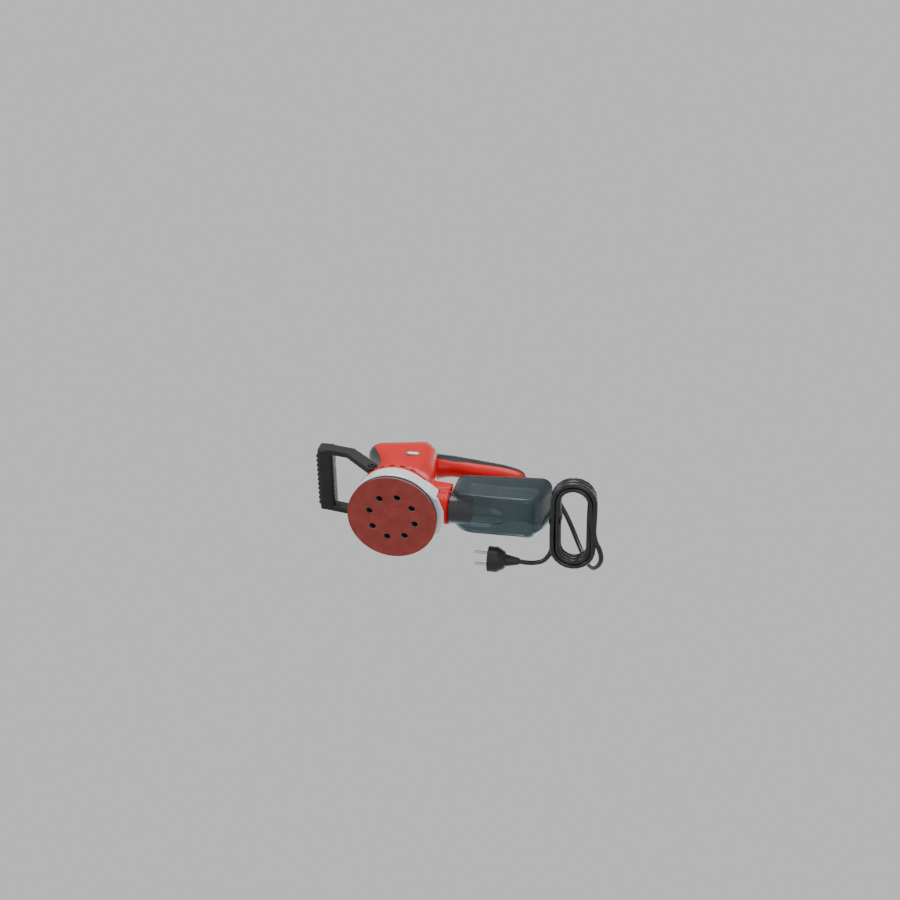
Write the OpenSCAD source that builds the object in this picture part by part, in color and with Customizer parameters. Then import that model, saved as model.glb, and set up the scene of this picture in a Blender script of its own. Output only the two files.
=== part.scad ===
// Random orbit sander with a round pad, a front handle, a dust box and a mains lead.
// +Z is up, +X is to the rear, and -Y is the tool's left.
// The origin is on the motor axis, in the plane of the sanding face.

/* [Sanding pad] */
// Diameter of the sanding disc
disc_d = 125; // [115:1:150]
// Thickness of the sanding disc
disc_t = 1.2; // [0.8:0.1:2]
// Number of dust holes
dust_holes = 8; // [6:1:8]
// Diameter of each dust hole
dust_hole_d = 10; // [6:0.5:12]
// Diameter of the circle that the dust holes lie on
dust_circle_d = 65; // [60:1:80]
// Thickness of the hook layer under the foam
hook_t = 1.5; // [1:0.1:2.5]
// Thickness of the foam
foam_t = 6; // [4:0.5:10]
// Thickness of the backing plate
plate_t = 2.5; // [2:0.1:4]
// Offset of the pad's axis from the motor's axis
orbit = 1.25; // [1:0.05:2]

/* [Gear housing] */
// How far the rim stands inside the edge of the disc
rim_inset = 2.5; // [0:0.5:5]
// Wall of the rim
rim_wall = 7; // [6:0.5:9]
// Inner height of the dust chamber
chamber_h = 21.5; // [20:0.5:30]
// Thickness of the deck above the dust chamber
deck_t = 3.5; // [3:0.5:5]
// Shank diameter of the screws that hold the gear housing
rim_screw_d = 4; // [3:0.5:5]

/* [Motor] */
// Outer diameter of the stator
stator_d = 56; // [48:1:66]
// Height of the stator's stack
stator_h = 40; // [34:1:42]
// Diameter of the armature
armature_d = 33.6; // [28:0.1:36]
// Diameter of the commutator
commutator_d = 22; // [18:1:26]
// Diameter of the motor shaft in the lower bearing
shaft_d = 12; // [10:1:14]
// Diameter of the cooling fan
fan_d = 68; // [56:1:70]

/* [Body] */
// Width of the motor body
head_w = 76; // [70:1:90]
// Height of the top of the motor body
head_top = 165; // [160:1:190]
// Wall of the casing
wall = 2.8; // [2:0.1:3.5]
// Thickness of the soft grip and of the front cover
skin = 1.5; // [1:0.1:2]
// Width of the rear handle
handle_w = 29; // [26:1:36]
// Height of the rear handle's section
handle_h = 34; // [30:1:40]
// Distance from the motor's axis to the end of the rear handle
handle_reach = 166; // [160:1:190]

/* [Dust port] */
// Outer diameter of the dust collar
collar_d = 48; // [46:1:56]
// Length of the dust collar
collar_l = 15; // [12:1:24]
// Outer diameter of the spigot that the dust box slides on
spigot_d = 38; // [34:0.5:40]
// Length of the spigot
spigot_l = 30; // [20:1:36]
// Height of the dust port's axis
port_z = 40; // [38:1:46]

/* [Dust box] */
// Clearance between the spigot and the neck
neck_gap = 0.3; // [0.3:0.05:0.5]
// Wall of the dust box
box_wall = 2; // [1.6:0.1:3]
// Length of the dust box
box_l = 135; // [115:1:150]
// Width of the dust box at its rear
box_w = 74; // [70:1:86]
// Height of the dust box's rim
box_top = 74; // [72:1:84]

/* [Front handle] */
// Outer width of the front handle over a 125 mm disc; it widens with the disc
bow_w = 101; // [98:1:128]
// Distance from the motor's axis to the front of the grip
bow_reach = 127; // [112:1:145]
// Height of the grip's axis
bow_z = 94; // [80:1:105]
// Diameter of the clamp screws that the front handle turns on
clamp_d = 6; // [5:0.5:8]

/* [Lead] */
// Diameter of the mains lead
cord_d = 7; // [6:0.5:8]

/* [Hidden] */
$fn = 64;

eps = 0.01;     // thickness of a slice that a hull starts from
play = 0.5;     // free space round a moving cover or button
fit = 0.05;     // radial running fit
facet_gap = 0.4;    // clearance of the casing's flat-sided cuts round what is round

// Heights of the pad's layers, counted up from the sanding face
hook_z = disc_t;
foam_z = hook_z + hook_t;
plate_z = foam_z + foam_t;
pad_top = plate_z + plate_t;
dust_turn = 14;             // angle of the first dust hole
pad_screw_d = 8;
pad_bolt_head_d = 13;

// Gear housing
rim_z = pad_top + 1.3;
rim_r = disc_d / 2 - rim_inset;
rim_in = rim_r - rim_wall;
deck_z = rim_z + chamber_h;
flange_z = deck_z + deck_t;
screw_circle = rim_r - 5.5;
screw_angles = [41, 139, 221, 319];
rim_screw_r = rim_screw_d / 2;
fan_chamber_gap = 4.5;

// Bearings as [bore, outside diameter, width]
upper_bearing = [8, 22, 7];
lower_bearing = [shaft_d, shaft_d + 20, 10];
pad_bearing = [12, 28, 8];
function ball_r(b) = 0.14 * (b[1] - b[0]);
function pitch_r(b) = (b[0] + b[1]) / 4;
function race(b) = 0.12 * (b[1] - b[0]);

// Places on the motor's axis
lower_z = flange_z + 4.5;
pad_bearing_z = pad_top + 8.8;
hub_z = pad_bearing_z - 1;
hub_h = 11.8;
dust_fan_z = hub_z + 12;    // underside of the dust fan's plate
fan_z = lower_z + lower_bearing[2] + 5;
stator_z = fan_z + 21;
comm_z = stator_z + stator_h + 7;
comm_h = 11;
bridge_z = comm_z + comm_h + 3;
upper_z = bridge_z + 4;
sleeve_t = 2;
shaft_r = shaft_d / 2;
slim_r = 5.5;

// Motor body, as slices [height, front, rear, half width, corner radius, front half width]
flange_r = rim_r - 2;
hw = head_w / 2;
HEAD = [
    [flange_z, -flange_r, flange_r, flange_r, flange_r, flange_r],
    [flange_z + 7.5, -flange_r, flange_r, flange_r, flange_r, flange_r],
    [flange_z + 13, 5 - flange_r, flange_r - 5, flange_r - 5, flange_r - 6, flange_r - 5],
    [flange_z + 21, 9 - flange_r, flange_r - 8, flange_r - 9, flange_r - 12, flange_r - 9],
    [68, -44, 48, hw + 4, hw, hw + 4],
    [78, -41, 46, hw + 1.5, hw - 6, hw + 1],
    [95, -41, 44, hw + 0.5, hw - 12, hw - 1],
    [115, -50, 41, hw + 0.5, hw - 15, hw - 3],
    [135, -62, 38, hw + 0.5, hw - 18, hw - 5],
    [head_top - 20, -64, 36, hw, hw - 20, hw - 6],
    [head_top - 11, -60, 33, hw - 2, 18, hw - 9],
    [head_top - 3, -42, 29, hw - 7, 16, hw - 13],
    [head_top + 1, -16, 21, hw - 17, 12, hw - 20]
];

// Rear handle, as slices [distance, height, half width, half height]
hx = handle_reach - 166;
hz = head_top - 165;
gw = handle_w / 2;
gh = handle_h / 2;
HANDLE = [
    [8, 145 + hz, hw - 14, gh + 2],
    [30, 148 + hz, hw - 18, gh + 1.5],
    [45, 151.5 + hz, gw + 2, gh + 0.5],
    [60, 153.5 + hz, gw, gh],
    [80 + hx * 0.4, 150 + hz, gw, gh],
    [100 + hx * 0.6, 146.5 + hz, gw, gh],
    [118 + hx * 0.8, 142.5 + hz, gw + 0.5, gh - 0.5],
    [135 + hx, 139 + hz, gw + 0.5, gh - 1],
    [150 + hx, 135.5 + hz, gw - 0.5, gh - 2],
    [160 + hx, 133 + hz, gw - 2.5, gh - 4],
    [166 + hx, 131.5 + hz, gw - 6, gh - 8]
];

// Lower edge of the soft grip, as [distance, height]
GRIP_EDGE = [[-80, 147 + hz], [-44, 151 + hz], [-24, 157 + hz], [-2, 162.5 + hz],
    [12, 161 + hz], [24, 152 + hz], [36, 145 + hz], [50, 148.5 + hz],
    [80, 148 + hz], [118, 142 + hz], [150, 135.5 + hz], [220, 124 + hz]];
cover_low = 76;             // lower end of the front cover
cover_back = -38;           // rear edge of the front cover

// Screws through the casing, as [distance, height]
CASE_SCREWS = [[-35, 90], [35, 96], [-52, 144.5 + hz], [27, 128 + hz], [72, 143 + hz],
    [112, 133.5 + hz], [146 + hx, 126.5 + hz]];
case_boss_r = 4.2;
case_screw_r = 1.6;
case_head_r = 3.4;
case_head_y = 7;            // underside of the heads
case_screw_end = -8;        // tips

// Bracket over the dust collar
bracket_hw = 20;

// Dust port and dust box, along +X
port_x = rim_r;
collar_end = port_x + collar_l;
spigot_end = collar_end + spigot_l;
neck_in = spigot_d / 2 + neck_gap;
neck_r = neck_in + 2.2;
box_x = collar_end + 2.5;
box_end = box_x + box_l;
cover_t = 5;
cover_lip = 2;

// Front handle
pivot_x = -38;
pivot_z = flange_z + 18.5;
boss_y = sqrt(pow(flange_r - 8, 2) - pow(pivot_x, 2)) + 5;
boss_depth = 11.5;
eye_in = boss_y + 0.4;
eye_t = 9;
eye_r = 9;
bow_hw = bow_w / 2 + (disc_d - 125) / 2;
bend_x = -76;
bend_z = 86;
arm_h = 16;
arm_t = 8;

// Speed dial
dial_at = [-36, 0, head_top - 11];
dial_r = 11;
dial_w = 6;

// Switch rocker on the sloping front face
rocker_at = [-46.2, 0, 108];
rocker_tilt = -22;
rocker_rest = 5;
rocker_size = [18, 26];     // [width, height]
switch_depth = 17;          // how far the rocker's opening reaches in

// Inner parts of the rear handle
board_z = 151 + hz;
terminal_z = 141 + hz;
clamp_x = 130 + hx;
clamp_z = 138 + hz;
clamp_t = 4;

// Lead: from the handle to the hank, and from the hank to the plug. It moves with the
// end of the handle.
cord_r = cord_d / 2;
guard_tip = [handle_reach + 30, 0, 116 + hz];
CORD_ROUTE = [for (p = [[196, 0, 116], [206, 3, 110.5], [218, 14, 104], [230, 30, 97],
    [241, 46, 86], [251, 58, 70], [261, 66, 52], [270, 68, 33], [279, 62, 17],
    [286, 51, 8], [289, 38, 4.5], [286.5, 24, 3.5], [281, 12, 3.5], [278, -2, 3.5]])
    p + [hx, 0, hz * max(0, (p[2] - 70) / 46)]];
PLUG_ROUTE = [for (p = [[222, 6, 17.5], [222, 20, 17.5], [221, 34, 16.5], [217, 47, 15.5],
    [209, 57, 15], [198, 62, 16], [187, 64, 17.5], [176, 64, 18.5]]) p + [hx, 0, 0]];
hank_at = [250 + hx, -10];
hank_run = 72;
hank_w = 2 * cord_d;        // two turns side by side
hank_h = 3 * cord_d;        // three layers
hank_r = 3 * cord_d + cord_r + cord_d;
plug_at = [176 + hx, 64, 18.5];
plug_l = 44;

// ---------- shared shapes ----------

// Cylinder along X
module rod_x(x0, x1, r) {
    translate([x0, 0, 0]) rotate([0, 90, 0]) cylinder(h = x1 - x0, r = r);
}

// Cylinder along Y
module rod_y(y0, y1, r) {
    translate([0, y0, 0]) rotate([-90, 0, 0]) cylinder(h = y1 - y0, r = r);
}

// Ring standing on its lower face
module ring(z, h, r_in, r_out) {
    translate([0, 0, z]) difference() {
        cylinder(h = h, r = r_out);
        translate([0, 0, -1]) cylinder(h = h + 2, r = r_in);
    }
}

// Thin level slice with rounded corners, which can be narrower in front
module slice(z, front, rear, half, r, front_half) {
    translate([0, 0, z]) linear_extrude(eps) hull() for (m = [0, 1]) mirror([0, m]) {
        translate([rear - r, half - r]) circle(r = r, $fn = 24);
        translate([front + r, max(front_half - r, 0)]) circle(r = r, $fn = 24);
    }
}

// Skin through a list of level slices, each one shrunk by an inset
module level_loft(list, inset, lift = 0) {
    last = len(list) - 1;
    for (i = [0:last - 1]) hull() {
        for (s = [list[i], list[i + 1]])
            slice(s == list[last] ? s[0] - inset : s == list[0] ? s[0] - lift : s[0],
                s[1] + inset, s[2] - inset, s[3] - inset, max(s[4] - inset, 1),
                s[5] - inset);
    }
}

// Skin through a list of upright oval slices, each one shrunk by an inset
module oval_loft(list, inset) {
    last = len(list) - 1;
    for (i = [0:last - 1]) hull() {
        for (s = [list[i], list[i + 1]])
            translate([s == list[last] ? s[0] - inset : s[0], 0, s[1]])
                rotate([90, 0, 90]) linear_extrude(eps)
                    scale([s[2] - inset, s[3] - inset]) circle(r = 1, $fn = 24);
    }
}

// Round bar through a list of points, built as one skin
function unit(v) = v / norm(v);
function along(p, i) = unit(p[min(i + 1, len(p) - 1)] - p[max(i - 1, 0)]);
function smooth(p, n) = [for (i = [0:len(p) - 2], k = [0:n - 1])
    let (t = k / n, a = p[max(i - 1, 0)], b = p[i], c = p[i + 1],
        d = p[min(i + 2, len(p) - 1)])
    0.5 * (2 * b + (c - a) * t + (2 * a - 5 * b + 4 * c - d) * t * t
        + (3 * b - a - 3 * c + d) * t * t * t), p[len(p) - 1]];
module tube(route, r, sides) {
    n = len(route);
    rings = [for (i = [0:n - 1])
        let (t = along(route, i), u = unit(cross(t, [0.3, 0.9, 0.3])), v = cross(t, u))
        for (k = [0:sides - 1]) route[i] + r * (cos(360 * k / sides) * u
            + sin(360 * k / sides) * v)];
    walls = [for (i = [0:n - 2], k = [0:sides - 1])
        let (a = i * sides + k, b = i * sides + (k + 1) % sides)
        each [[a, a + sides, b], [b, a + sides, b + sides]]];
    first = [for (k = [0:sides - 1]) k];
    last = [for (k = [sides - 1:-1:0]) (n - 1) * sides + k];
    polyhedron(points = rings, faces = concat(walls, [first, last]), convexity = 6);
}

// Ball bearing pieces, standing on their lower face
module outer_race(b) {
    difference() {
        ring(0, b[2], pitch_r(b) + race(b), b[1] / 2);
        translate([0, 0, b[2] / 2]) groove(b);
    }
}
module inner_race(b) {
    difference() {
        ring(0, b[2], b[0] / 2, pitch_r(b) - race(b));
        translate([0, 0, b[2] / 2]) groove(b);
    }
}
module groove(b) {
    rotate_extrude() translate([pitch_r(b), 0]) circle(r = ball_r(b) + fit);
}
module balls(b) {
    for (a = [0:45:315]) rotate(a) translate([pitch_r(b), 0, b[2] / 2]) sphere(r = ball_r(b));
}

// ---------- casing ----------

module bracket(inset) {
    hull() {
        for (x = [34, collar_end - 1 - inset], y = [1, -1], z = [60, x < 50 ? 76 : 71])
            translate([x, y * (bracket_hw - 4), z]) rod_x(0, 1, 4 - inset);
    }
}

// The whole casing as a solid, shrunk by an inset
module body_form(inset = 0, lift = 0) {
    level_loft(HEAD, inset, lift);
    oval_loft(HANDLE, inset);
    bracket(inset);
}

// Space above the soft grip's lower edge
module grip_space() {
    translate([0, 100, 0]) rotate([90, 0, 0]) linear_extrude(200)
        polygon(concat(GRIP_EDGE, [[220, 300], [-80, 300]]));
}

// Space of the front cover, below the soft grip
module cover_space() {
    difference() {
        translate([0, hw - 8, 0]) rotate([90, 0, 0]) linear_extrude(2 * hw - 16)
            polygon([[-90, cover_low], [cover_back + 6, cover_low], [cover_back, 96],
                [cover_back, 132], [cover_back - 6, 142], [cover_back - 6, 170], [-90, 170]]);
        grip_space();
    }
}

module rocker_hole(grow) {
    translate(rocker_at) rotate([0, rocker_tilt, 0])
        cube([2 * switch_depth, rocker_size[0] + 2 * grow, rocker_size[1] + 2 * grow], center = true);
}

module dial_hole() {
    translate(dial_at) rod_y(-dial_w / 2 - play, dial_w / 2 + play, dial_r + play);
    translate([dial_at[0] - dial_r - play, -dial_w / 2 - play, dial_at[2]])
        cube([2 * (dial_r + play), dial_w + 2 * play, 30]);
}

module badge_shape() {
    translate([7.5, -hw - 0.9, 115]) hull() for (x = [-5, 5])
        translate([x, 0, 0]) rod_y(0, 1.5, 5.2, $fn = 32);
}

module vent_slots() {
    for (a = [66:15:156], s = [1, -1]) rotate(s * a)
        translate([flange_r - 16, -3.4, flange_z + 15.5]) cube([16, 6.8, 3.2]);
}

// Ribs, bosses and seats inside the casing
module casing_seats() {
    rib_t = 3;
    sleeve_r = upper_bearing[1] / 2 + sleeve_t + facet_gap;
    difference() {
        union() {
            for (z = [stator_z + 3, stator_z + stator_h - 6, bridge_z])
                translate([-80, -80, z]) cube([120, 160, rib_t]);
            ring(bridge_z, 12, sleeve_r, sleeve_r + 2.5);
            for (p = CASE_SCREWS) translate([p[0], 0, p[1]]) rod_y(-60, 60, case_boss_r);
            for (m = [0, 1]) mirror([0, m, 0]) translate([pivot_x, 0, pivot_z])
                rod_y(boss_y - boss_depth, boss_y, eye_r + 3);
            for (x = [58, 92]) translate([x, -30, 0]) cube([rib_t, 60, board_z]);
            translate([106, -30, 0]) cube([12, 60, terminal_z]);
            translate([clamp_x, -30, 0]) cube([9, 60, clamp_z]);
        }
        cylinder(h = bridge_z - 1, r = stator_d / 2 + facet_gap);
        cylinder(h = 200, r = 9.5);
        translate([0, 0, bridge_z + rib_t]) cylinder(h = 30, r = sleeve_r);
    }
}

module case_screw_holes() {
    for (p = CASE_SCREWS) translate([p[0], 0, p[1]]) {
        rod_y(case_screw_end - 0.5, case_head_y, case_screw_r + 0.1);
        rod_y(case_head_y, 60, case_head_r + 0.2);
    }
}

module casing_cuts() {
    for (a = screw_angles) rotate(a) translate([screw_circle, 0, 0])
        cylinder(h = flange_z + 9, r = rim_screw_r + 0.1);
    case_screw_holes();
    for (m = [0, 1]) mirror([0, m, 0]) translate([pivot_x, 0, pivot_z]) {
        rod_y(boss_y - boss_depth, boss_y + 1, clamp_d / 2 + 0.1);
        rod_y(boss_y, boss_y + 40, eye_r + 0.8);
    }
    translate([0, 0, port_z]) rod_x(port_x, collar_end, collar_d / 2 + facet_gap);
    for (y = [-6, 6]) translate([clamp_x + 4.5, y, clamp_z - 6]) cylinder(h = 8, r = 1.6);
    guard_form(0.2);
    rocker_hole(play);
    dial_hole();
    badge_shape();
    vent_slots();
}

module casing() {
    difference() {
        union() {
            difference() {
                union() {
                    body_form(skin);
                    difference() {
                        body_form(0);
                        grip_space();
                        cover_space();
                    }
                }
                body_form(wall, wall);
            }
            intersection() {
                body_form(skin + 0.3);
                casing_seats();
            }
            for (a = screw_angles) rotate(a) translate([screw_circle, 0, flange_z])
                cylinder(h = 9, r = 3.4);
        }
        casing_cuts();
    }
}

module left_half() {
    translate([-200, -200, 0]) cube([500, 200, 300]);
}

module right_half() {
    translate([-200, 0, 0]) cube([500, 200, 300]);
}

module housing_left() {
    color("crimson") intersection() {
        casing($fn = 20);
        left_half();
    }
}

module housing_right() {
    color("crimson") intersection() {
        casing($fn = 20);
        right_half();
    }
}

module soft_grip() {
    difference() {
        intersection() {
            body_form(0);
            grip_space();
        }
        body_form(skin);
        dial_hole();
        guard_form(0.2);
        case_screw_holes();
    }
}

module soft_grip_left() {
    color("dimgray") intersection() {
        soft_grip($fn = 20);
        left_half();
    }
}

module soft_grip_right() {
    color("dimgray") intersection() {
        soft_grip($fn = 20);
        right_half();
    }
}

module front_cover() {
    color("black") difference() {
        intersection() {
            body_form(0);
            cover_space();
        }
        body_form(skin);
        rocker_hole(play);
        case_screw_holes();
    }
}

module housing_screws() {
    color("silver") for (p = CASE_SCREWS) translate([p[0], 0, p[1]]) difference() {
        union() {
            rod_y(case_head_y, case_head_y + 2.6, case_head_r);
            rod_y(case_screw_end, case_head_y, case_screw_r);
        }
        for (a = [0, 90]) rotate([0, a, 0])
            translate([-2.2, case_head_y + 1.2, -0.5]) cube([4.4, 3, 1]);
    }
}

module badge() {
    color("white") badge_shape();
}

// ---------- gear housing and dust port ----------

// Flare of the dust port in plan, counted from the port's face
FLARE = [[-24, 45], [-10, 37], [-2, 30], [4, 28], [11, 9]];
function both_sides(p) = concat([for (v = p) [v[0], -v[1]]],
    [for (i = [len(p) - 1:-1:0]) p[i]]);

module gear_housing() {
    boss_r = lower_bearing[1] / 2 + 4;
    ledge_r = lower_bearing[1] / 2 - 3;
    color("silver") difference() {
        union() {
            rotate_extrude() polygon([[rim_in, rim_z], [rim_r - 1, rim_z],
                [rim_r, rim_z + 1], [rim_r - 2, flange_z], [boss_r, flange_z],
                [boss_r, lower_z + lower_bearing[2]], [ledge_r, lower_z + lower_bearing[2]],
                [ledge_r, deck_z], [rim_in, deck_z]]);
            translate([port_x, 0, rim_z]) linear_extrude(3) polygon(both_sides(FLARE));
            intersection() {
                translate([port_x, 0, rim_z]) linear_extrude(flange_z - rim_z)
                    polygon(both_sides(FLARE));
                translate([0, -60, 0]) cube([port_x, 120, 60]);
            }
            intersection() {
                for (a = screw_angles) rotate(a) translate([screw_circle, 0, rim_z + 0.6])
                    cylinder(h = deck_z - rim_z, r = 4.4);
                cylinder(h = flange_z, r = rim_r - 3);
            }
        }
        translate([0, 0, lower_z]) cylinder(h = 30, r = lower_bearing[1] / 2);
        translate([0, 0, rim_z - 1]) cylinder(h = chamber_h + 1, r = rim_in - 4);
        translate([30, -16, rim_z + 4]) cube([port_x, 32, chamber_h - 4]);
        for (a = screw_angles) rotate(a) translate([screw_circle, 0, rim_z - 1]) {
            cylinder(h = 60, r = rim_screw_r);
            cylinder(h = 5, r = rim_screw_r + 1.2);
        }
    }
}

module gear_housing_screws() {
    color("gray") for (a = screw_angles) rotate(a) translate([screw_circle, 0, rim_z]) {
        difference() {
            translate([0, 0, 1.2]) cylinder(h = 2.8, r = rim_screw_r + 1);
            translate([0, 0, 1]) cylinder(h = 1.8, r = 1.4, $fn = 6);
        }
        translate([0, 0, 4]) cylinder(h = flange_z - rim_z + 4, r = rim_screw_r);
    }
}

module brake_ring() {
    color("dimgray") ring(pad_top + 0.3, rim_z - pad_top + 1.2, rim_in - 7, rim_in - 4);
}

module dust_collar() {
    color("red") translate([port_x, 0, port_z]) difference() {
        union() {
            rod_x(0, collar_l, collar_d / 2);
            rod_x(collar_l, collar_l + spigot_l, spigot_d / 2);
        }
        rod_x(2, collar_l + spigot_l + 1, spigot_d / 2 - 2);
        translate([-1, -15, rim_z + 6 - port_z]) cube([5, 30, deck_z - rim_z - 6]);
    }
}

// ---------- motor ----------

// Part of a ring between two angles
module ring_sector(z, h, r_in, r_out, from, sweep) {
    translate([0, 0, z]) rotate(from) rotate_extrude(angle = sweep)
        translate([r_in, 0]) square([r_out - r_in, h]);
}

module stator_core() {
    bore = armature_d / 2 + 0.6;
    color("slategray") translate([0, 0, stator_z]) {
        ring(0, stator_h, stator_d / 2 - 4, stator_d / 2);
        for (a = [-45, 135]) ring_sector(0, stator_h, bore, stator_d / 2 - 3.9, a, 90);
    }
}

// Two windings, each bent round its pole as a frame
module field_coils() {
    r_in = armature_d / 2 + 1.2;
    r_out = stator_d / 2 - 4.4;
    color("chocolate") for (a = [0, 180]) rotate(a) difference() {
        ring_sector(stator_z - 5.6, stator_h + 11.2, r_in, r_out, -62, 124);
        ring_sector(stator_z - 0.4, stator_h + 0.8, r_in - 1, r_out + 1, -47.5, 95);
    }
}

module armature_core() {
    r = armature_d / 2;
    color("gray") difference() {
        translate([0, 0, stator_z]) cylinder(h = stator_h, r = r);
        translate([0, 0, stator_z - 1]) cylinder(h = stator_h + 2, r = slim_r);
        for (a = [0:30:330]) rotate(a) translate([r - 3.4, 0, stator_z - 1])
            cylinder(h = stator_h + 2, r = 2.3);
        for (a = [0:30:330]) rotate(a) translate([r - 3, -0.6, stator_z - 1])
            cube([5, 1.2, stator_h + 2]);
    }
}

module armature_windings() {
    r = armature_d / 2;
    color("peru") {
        ring(stator_z - 6, 5.8, slim_r, r - 1.2);
        ring(stator_z + stator_h + 0.2, 5.4, slim_r, r - 1.2);
        for (a = [0:30:330]) rotate(a) translate([r - 3.4, 0, stator_z - 1])
            cylinder(h = stator_h + 2, r = 2.1);
    }
}

module commutator() {
    r = commutator_d / 2;
    color("orange") difference() {
        ring(comm_z, comm_h, slim_r, r);
        for (a = [0:30:330]) rotate(a) translate([r - 1, -0.3, comm_z + 1])
            cube([3, 0.6, comm_h]);
    }
}

module carbon_brushes() {
    color("darkslategray") difference() {
        for (s = [1, -1]) translate([-3, s > 0 ? 8 : -23, comm_z + 1.5]) cube([6, 15, 8]);
        cylinder(h = 200, r = commutator_d / 2 + fit);
    }
}

module brush_holders() {
    color("goldenrod") difference() {
        for (s = [1, -1]) translate([-4.5, s > 0 ? 14 : -32.5, comm_z]) cube([9, 18.5, 11]);
        for (s = [1, -1]) translate([-3, s > 0 ? 10 : -31, comm_z + 1.5]) cube([6, 21, 8]);
    }
}

module brush_springs() {
    turns = 4;
    color("lightgray") for (s = [1, -1]) tube([for (i = [0:32]) let (a = 360 * turns * i / 32)
        [2 * cos(a), s * (23.6 + 6.8 * i / 32), comm_z + 5.5 + 2 * sin(a)]], 0.45, 6);
}

module motor_shaft() {
    color("lightgray") {
        translate([0, 0, hub_z + 10.5]) cylinder(h = fan_z + 10 - hub_z - 10.5, r = shaft_r);
        translate([0, 0, fan_z + 10]) cylinder(h = bridge_z + 1 - fan_z - 10, r = slim_r);
        translate([0, 0, bridge_z + 1]) cylinder(h = upper_z + 8 - bridge_z - 1, r = upper_bearing[0] / 2);
    }
}

module upper_bearing_outer() {
    color("silver") translate([0, 0, upper_z]) outer_race(upper_bearing);
}

module upper_bearing_balls() {
    color("white") translate([0, 0, upper_z]) balls(upper_bearing);
}

module upper_bearing_inner() {
    color("silver") translate([0, 0, upper_z]) inner_race(upper_bearing);
}

module bearing_sleeve() {
    color("black") {
        ring(upper_z, upper_bearing[2], upper_bearing[1] / 2, upper_bearing[1] / 2 + sleeve_t);
        ring(bridge_z + 3, upper_z - bridge_z - 3, upper_bearing[1] / 2 - 1.5, upper_bearing[1] / 2 + sleeve_t);
    }
}

module lower_bearing_outer() {
    color("silver") translate([0, 0, lower_z]) outer_race(lower_bearing);
}

module lower_bearing_balls() {
    color("white") translate([0, 0, lower_z]) balls(lower_bearing);
}

module lower_bearing_inner() {
    color("silver") translate([0, 0, lower_z]) inner_race(lower_bearing);
}

module cooling_fan() {
    color("dimgray") {
        ring(fan_z, 10, shaft_r, shaft_r + 4);
        ring(fan_z, 1.6, shaft_r + 3, fan_d / 2);
        for (a = [0:24:336]) rotate(a) translate([15, -0.8, fan_z + 1])
            cube([fan_d / 2 - 16, 1.6, 8]);
    }
}

// ---------- drive to the pad ----------

module eccentric_hub() {
    seat_r = pad_bearing[1] / 2;
    color("gray") difference() {
        union() {
            translate([orbit, 0, hub_z]) cylinder(h = hub_h, r = seat_r + 4);
            translate([0, 0, hub_z + 1]) cylinder(h = lower_z - hub_z - 1.6, r = shaft_r + 3.5);
            ring_sector(hub_z + 1, 9, 12, rim_in - 25, 120, 120);
        }
        translate([orbit, 0, hub_z - 1]) cylinder(h = 2 + pad_bearing[2], r = seat_r);
        translate([orbit, 0, hub_z]) cylinder(h = 2 + pad_bearing[2], r = 9);
        translate([0, 0, hub_z]) cylinder(h = lower_z, r = shaft_r);
    }
}

module dust_fan() {
    blade_in = rim_in - 24;
    blade_out = rim_in - fan_chamber_gap - 1;
    color("ivory") {
        ring(dust_fan_z, 2, shaft_r + 3.5, blade_out);
        for (a = [0:30:330]) rotate(a) translate([blade_in, -0.9, hub_z + 0.5])
            cube([blade_out - blade_in - 0.5, 1.8, dust_fan_z - hub_z]);
    }
}

module pad_bearing_outer() {
    color("silver") translate([orbit, 0, pad_bearing_z]) outer_race(pad_bearing);
}

module pad_bearing_balls() {
    color("white") translate([orbit, 0, pad_bearing_z]) balls(pad_bearing);
}

module pad_bearing_inner() {
    color("silver") translate([orbit, 0, pad_bearing_z]) inner_race(pad_bearing);
}

module pad_spindle() {
    color("lightgray") translate([orbit, 0, 0]) difference() {
        union() {
            translate([0, 0, pad_top]) cylinder(h = 6, r = 15);
            translate([0, 0, pad_top]) cylinder(h = pad_bearing_z - pad_top, r = 8);
            translate([0, 0, pad_top]) cylinder(h = pad_bearing_z + pad_bearing[2] - pad_top, r = pad_bearing[0] / 2);
        }
        translate([0, 0, pad_top - 1]) cylinder(h = 13, r = pad_screw_d / 2);
    }
}

module pad_disc(z, h, r, hole_r) {
    translate([orbit, 0, z]) difference() {
        cylinder(h = h, r = r);
        if (hole_r > 0) translate([0, 0, -1]) cylinder(h = h + 2, r = hole_r);
        for (i = [0:dust_holes - 1]) rotate(dust_turn + 360 * i / dust_holes)
            translate([dust_circle_d / 2, 0, -1]) cylinder(h = h + 2, r = dust_hole_d / 2);
    }
}

module backing_plate() {
    color("black") pad_disc(plate_z, plate_t, disc_d / 2 - 4, pad_screw_d / 2);
}

module foam_pad() {
    color("dimgray") pad_disc(foam_z, foam_t, disc_d / 2 - 0.8, pad_bolt_head_d / 2 + 1);
}

module hook_layer() {
    color("black") pad_disc(hook_z, hook_t, disc_d / 2 - 0.6, pad_bolt_head_d / 2 + 1);
}

module sanding_disc() {
    color("brown") pad_disc(0, disc_t, disc_d / 2, 0);
}

module pad_screw() {
    color("gray") translate([orbit, 0, 0]) difference() {
        union() {
            translate([0, 0, plate_z - 4]) cylinder(h = 4, r = pad_bolt_head_d / 2);
            translate([0, 0, plate_z]) cylinder(h = plate_t + 11, r = pad_screw_d / 2);
        }
        translate([0, 0, plate_z - 5]) cylinder(h = 3.5, r = 3, $fn = 6);
    }
}

// ---------- switch, electronics and lead ----------

module switch_unit() {
    color("black") translate(rocker_at) rotate([0, rocker_tilt, 0])
        translate([6.6, -8, -10]) cube([9, 16, 20]);
}

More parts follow.
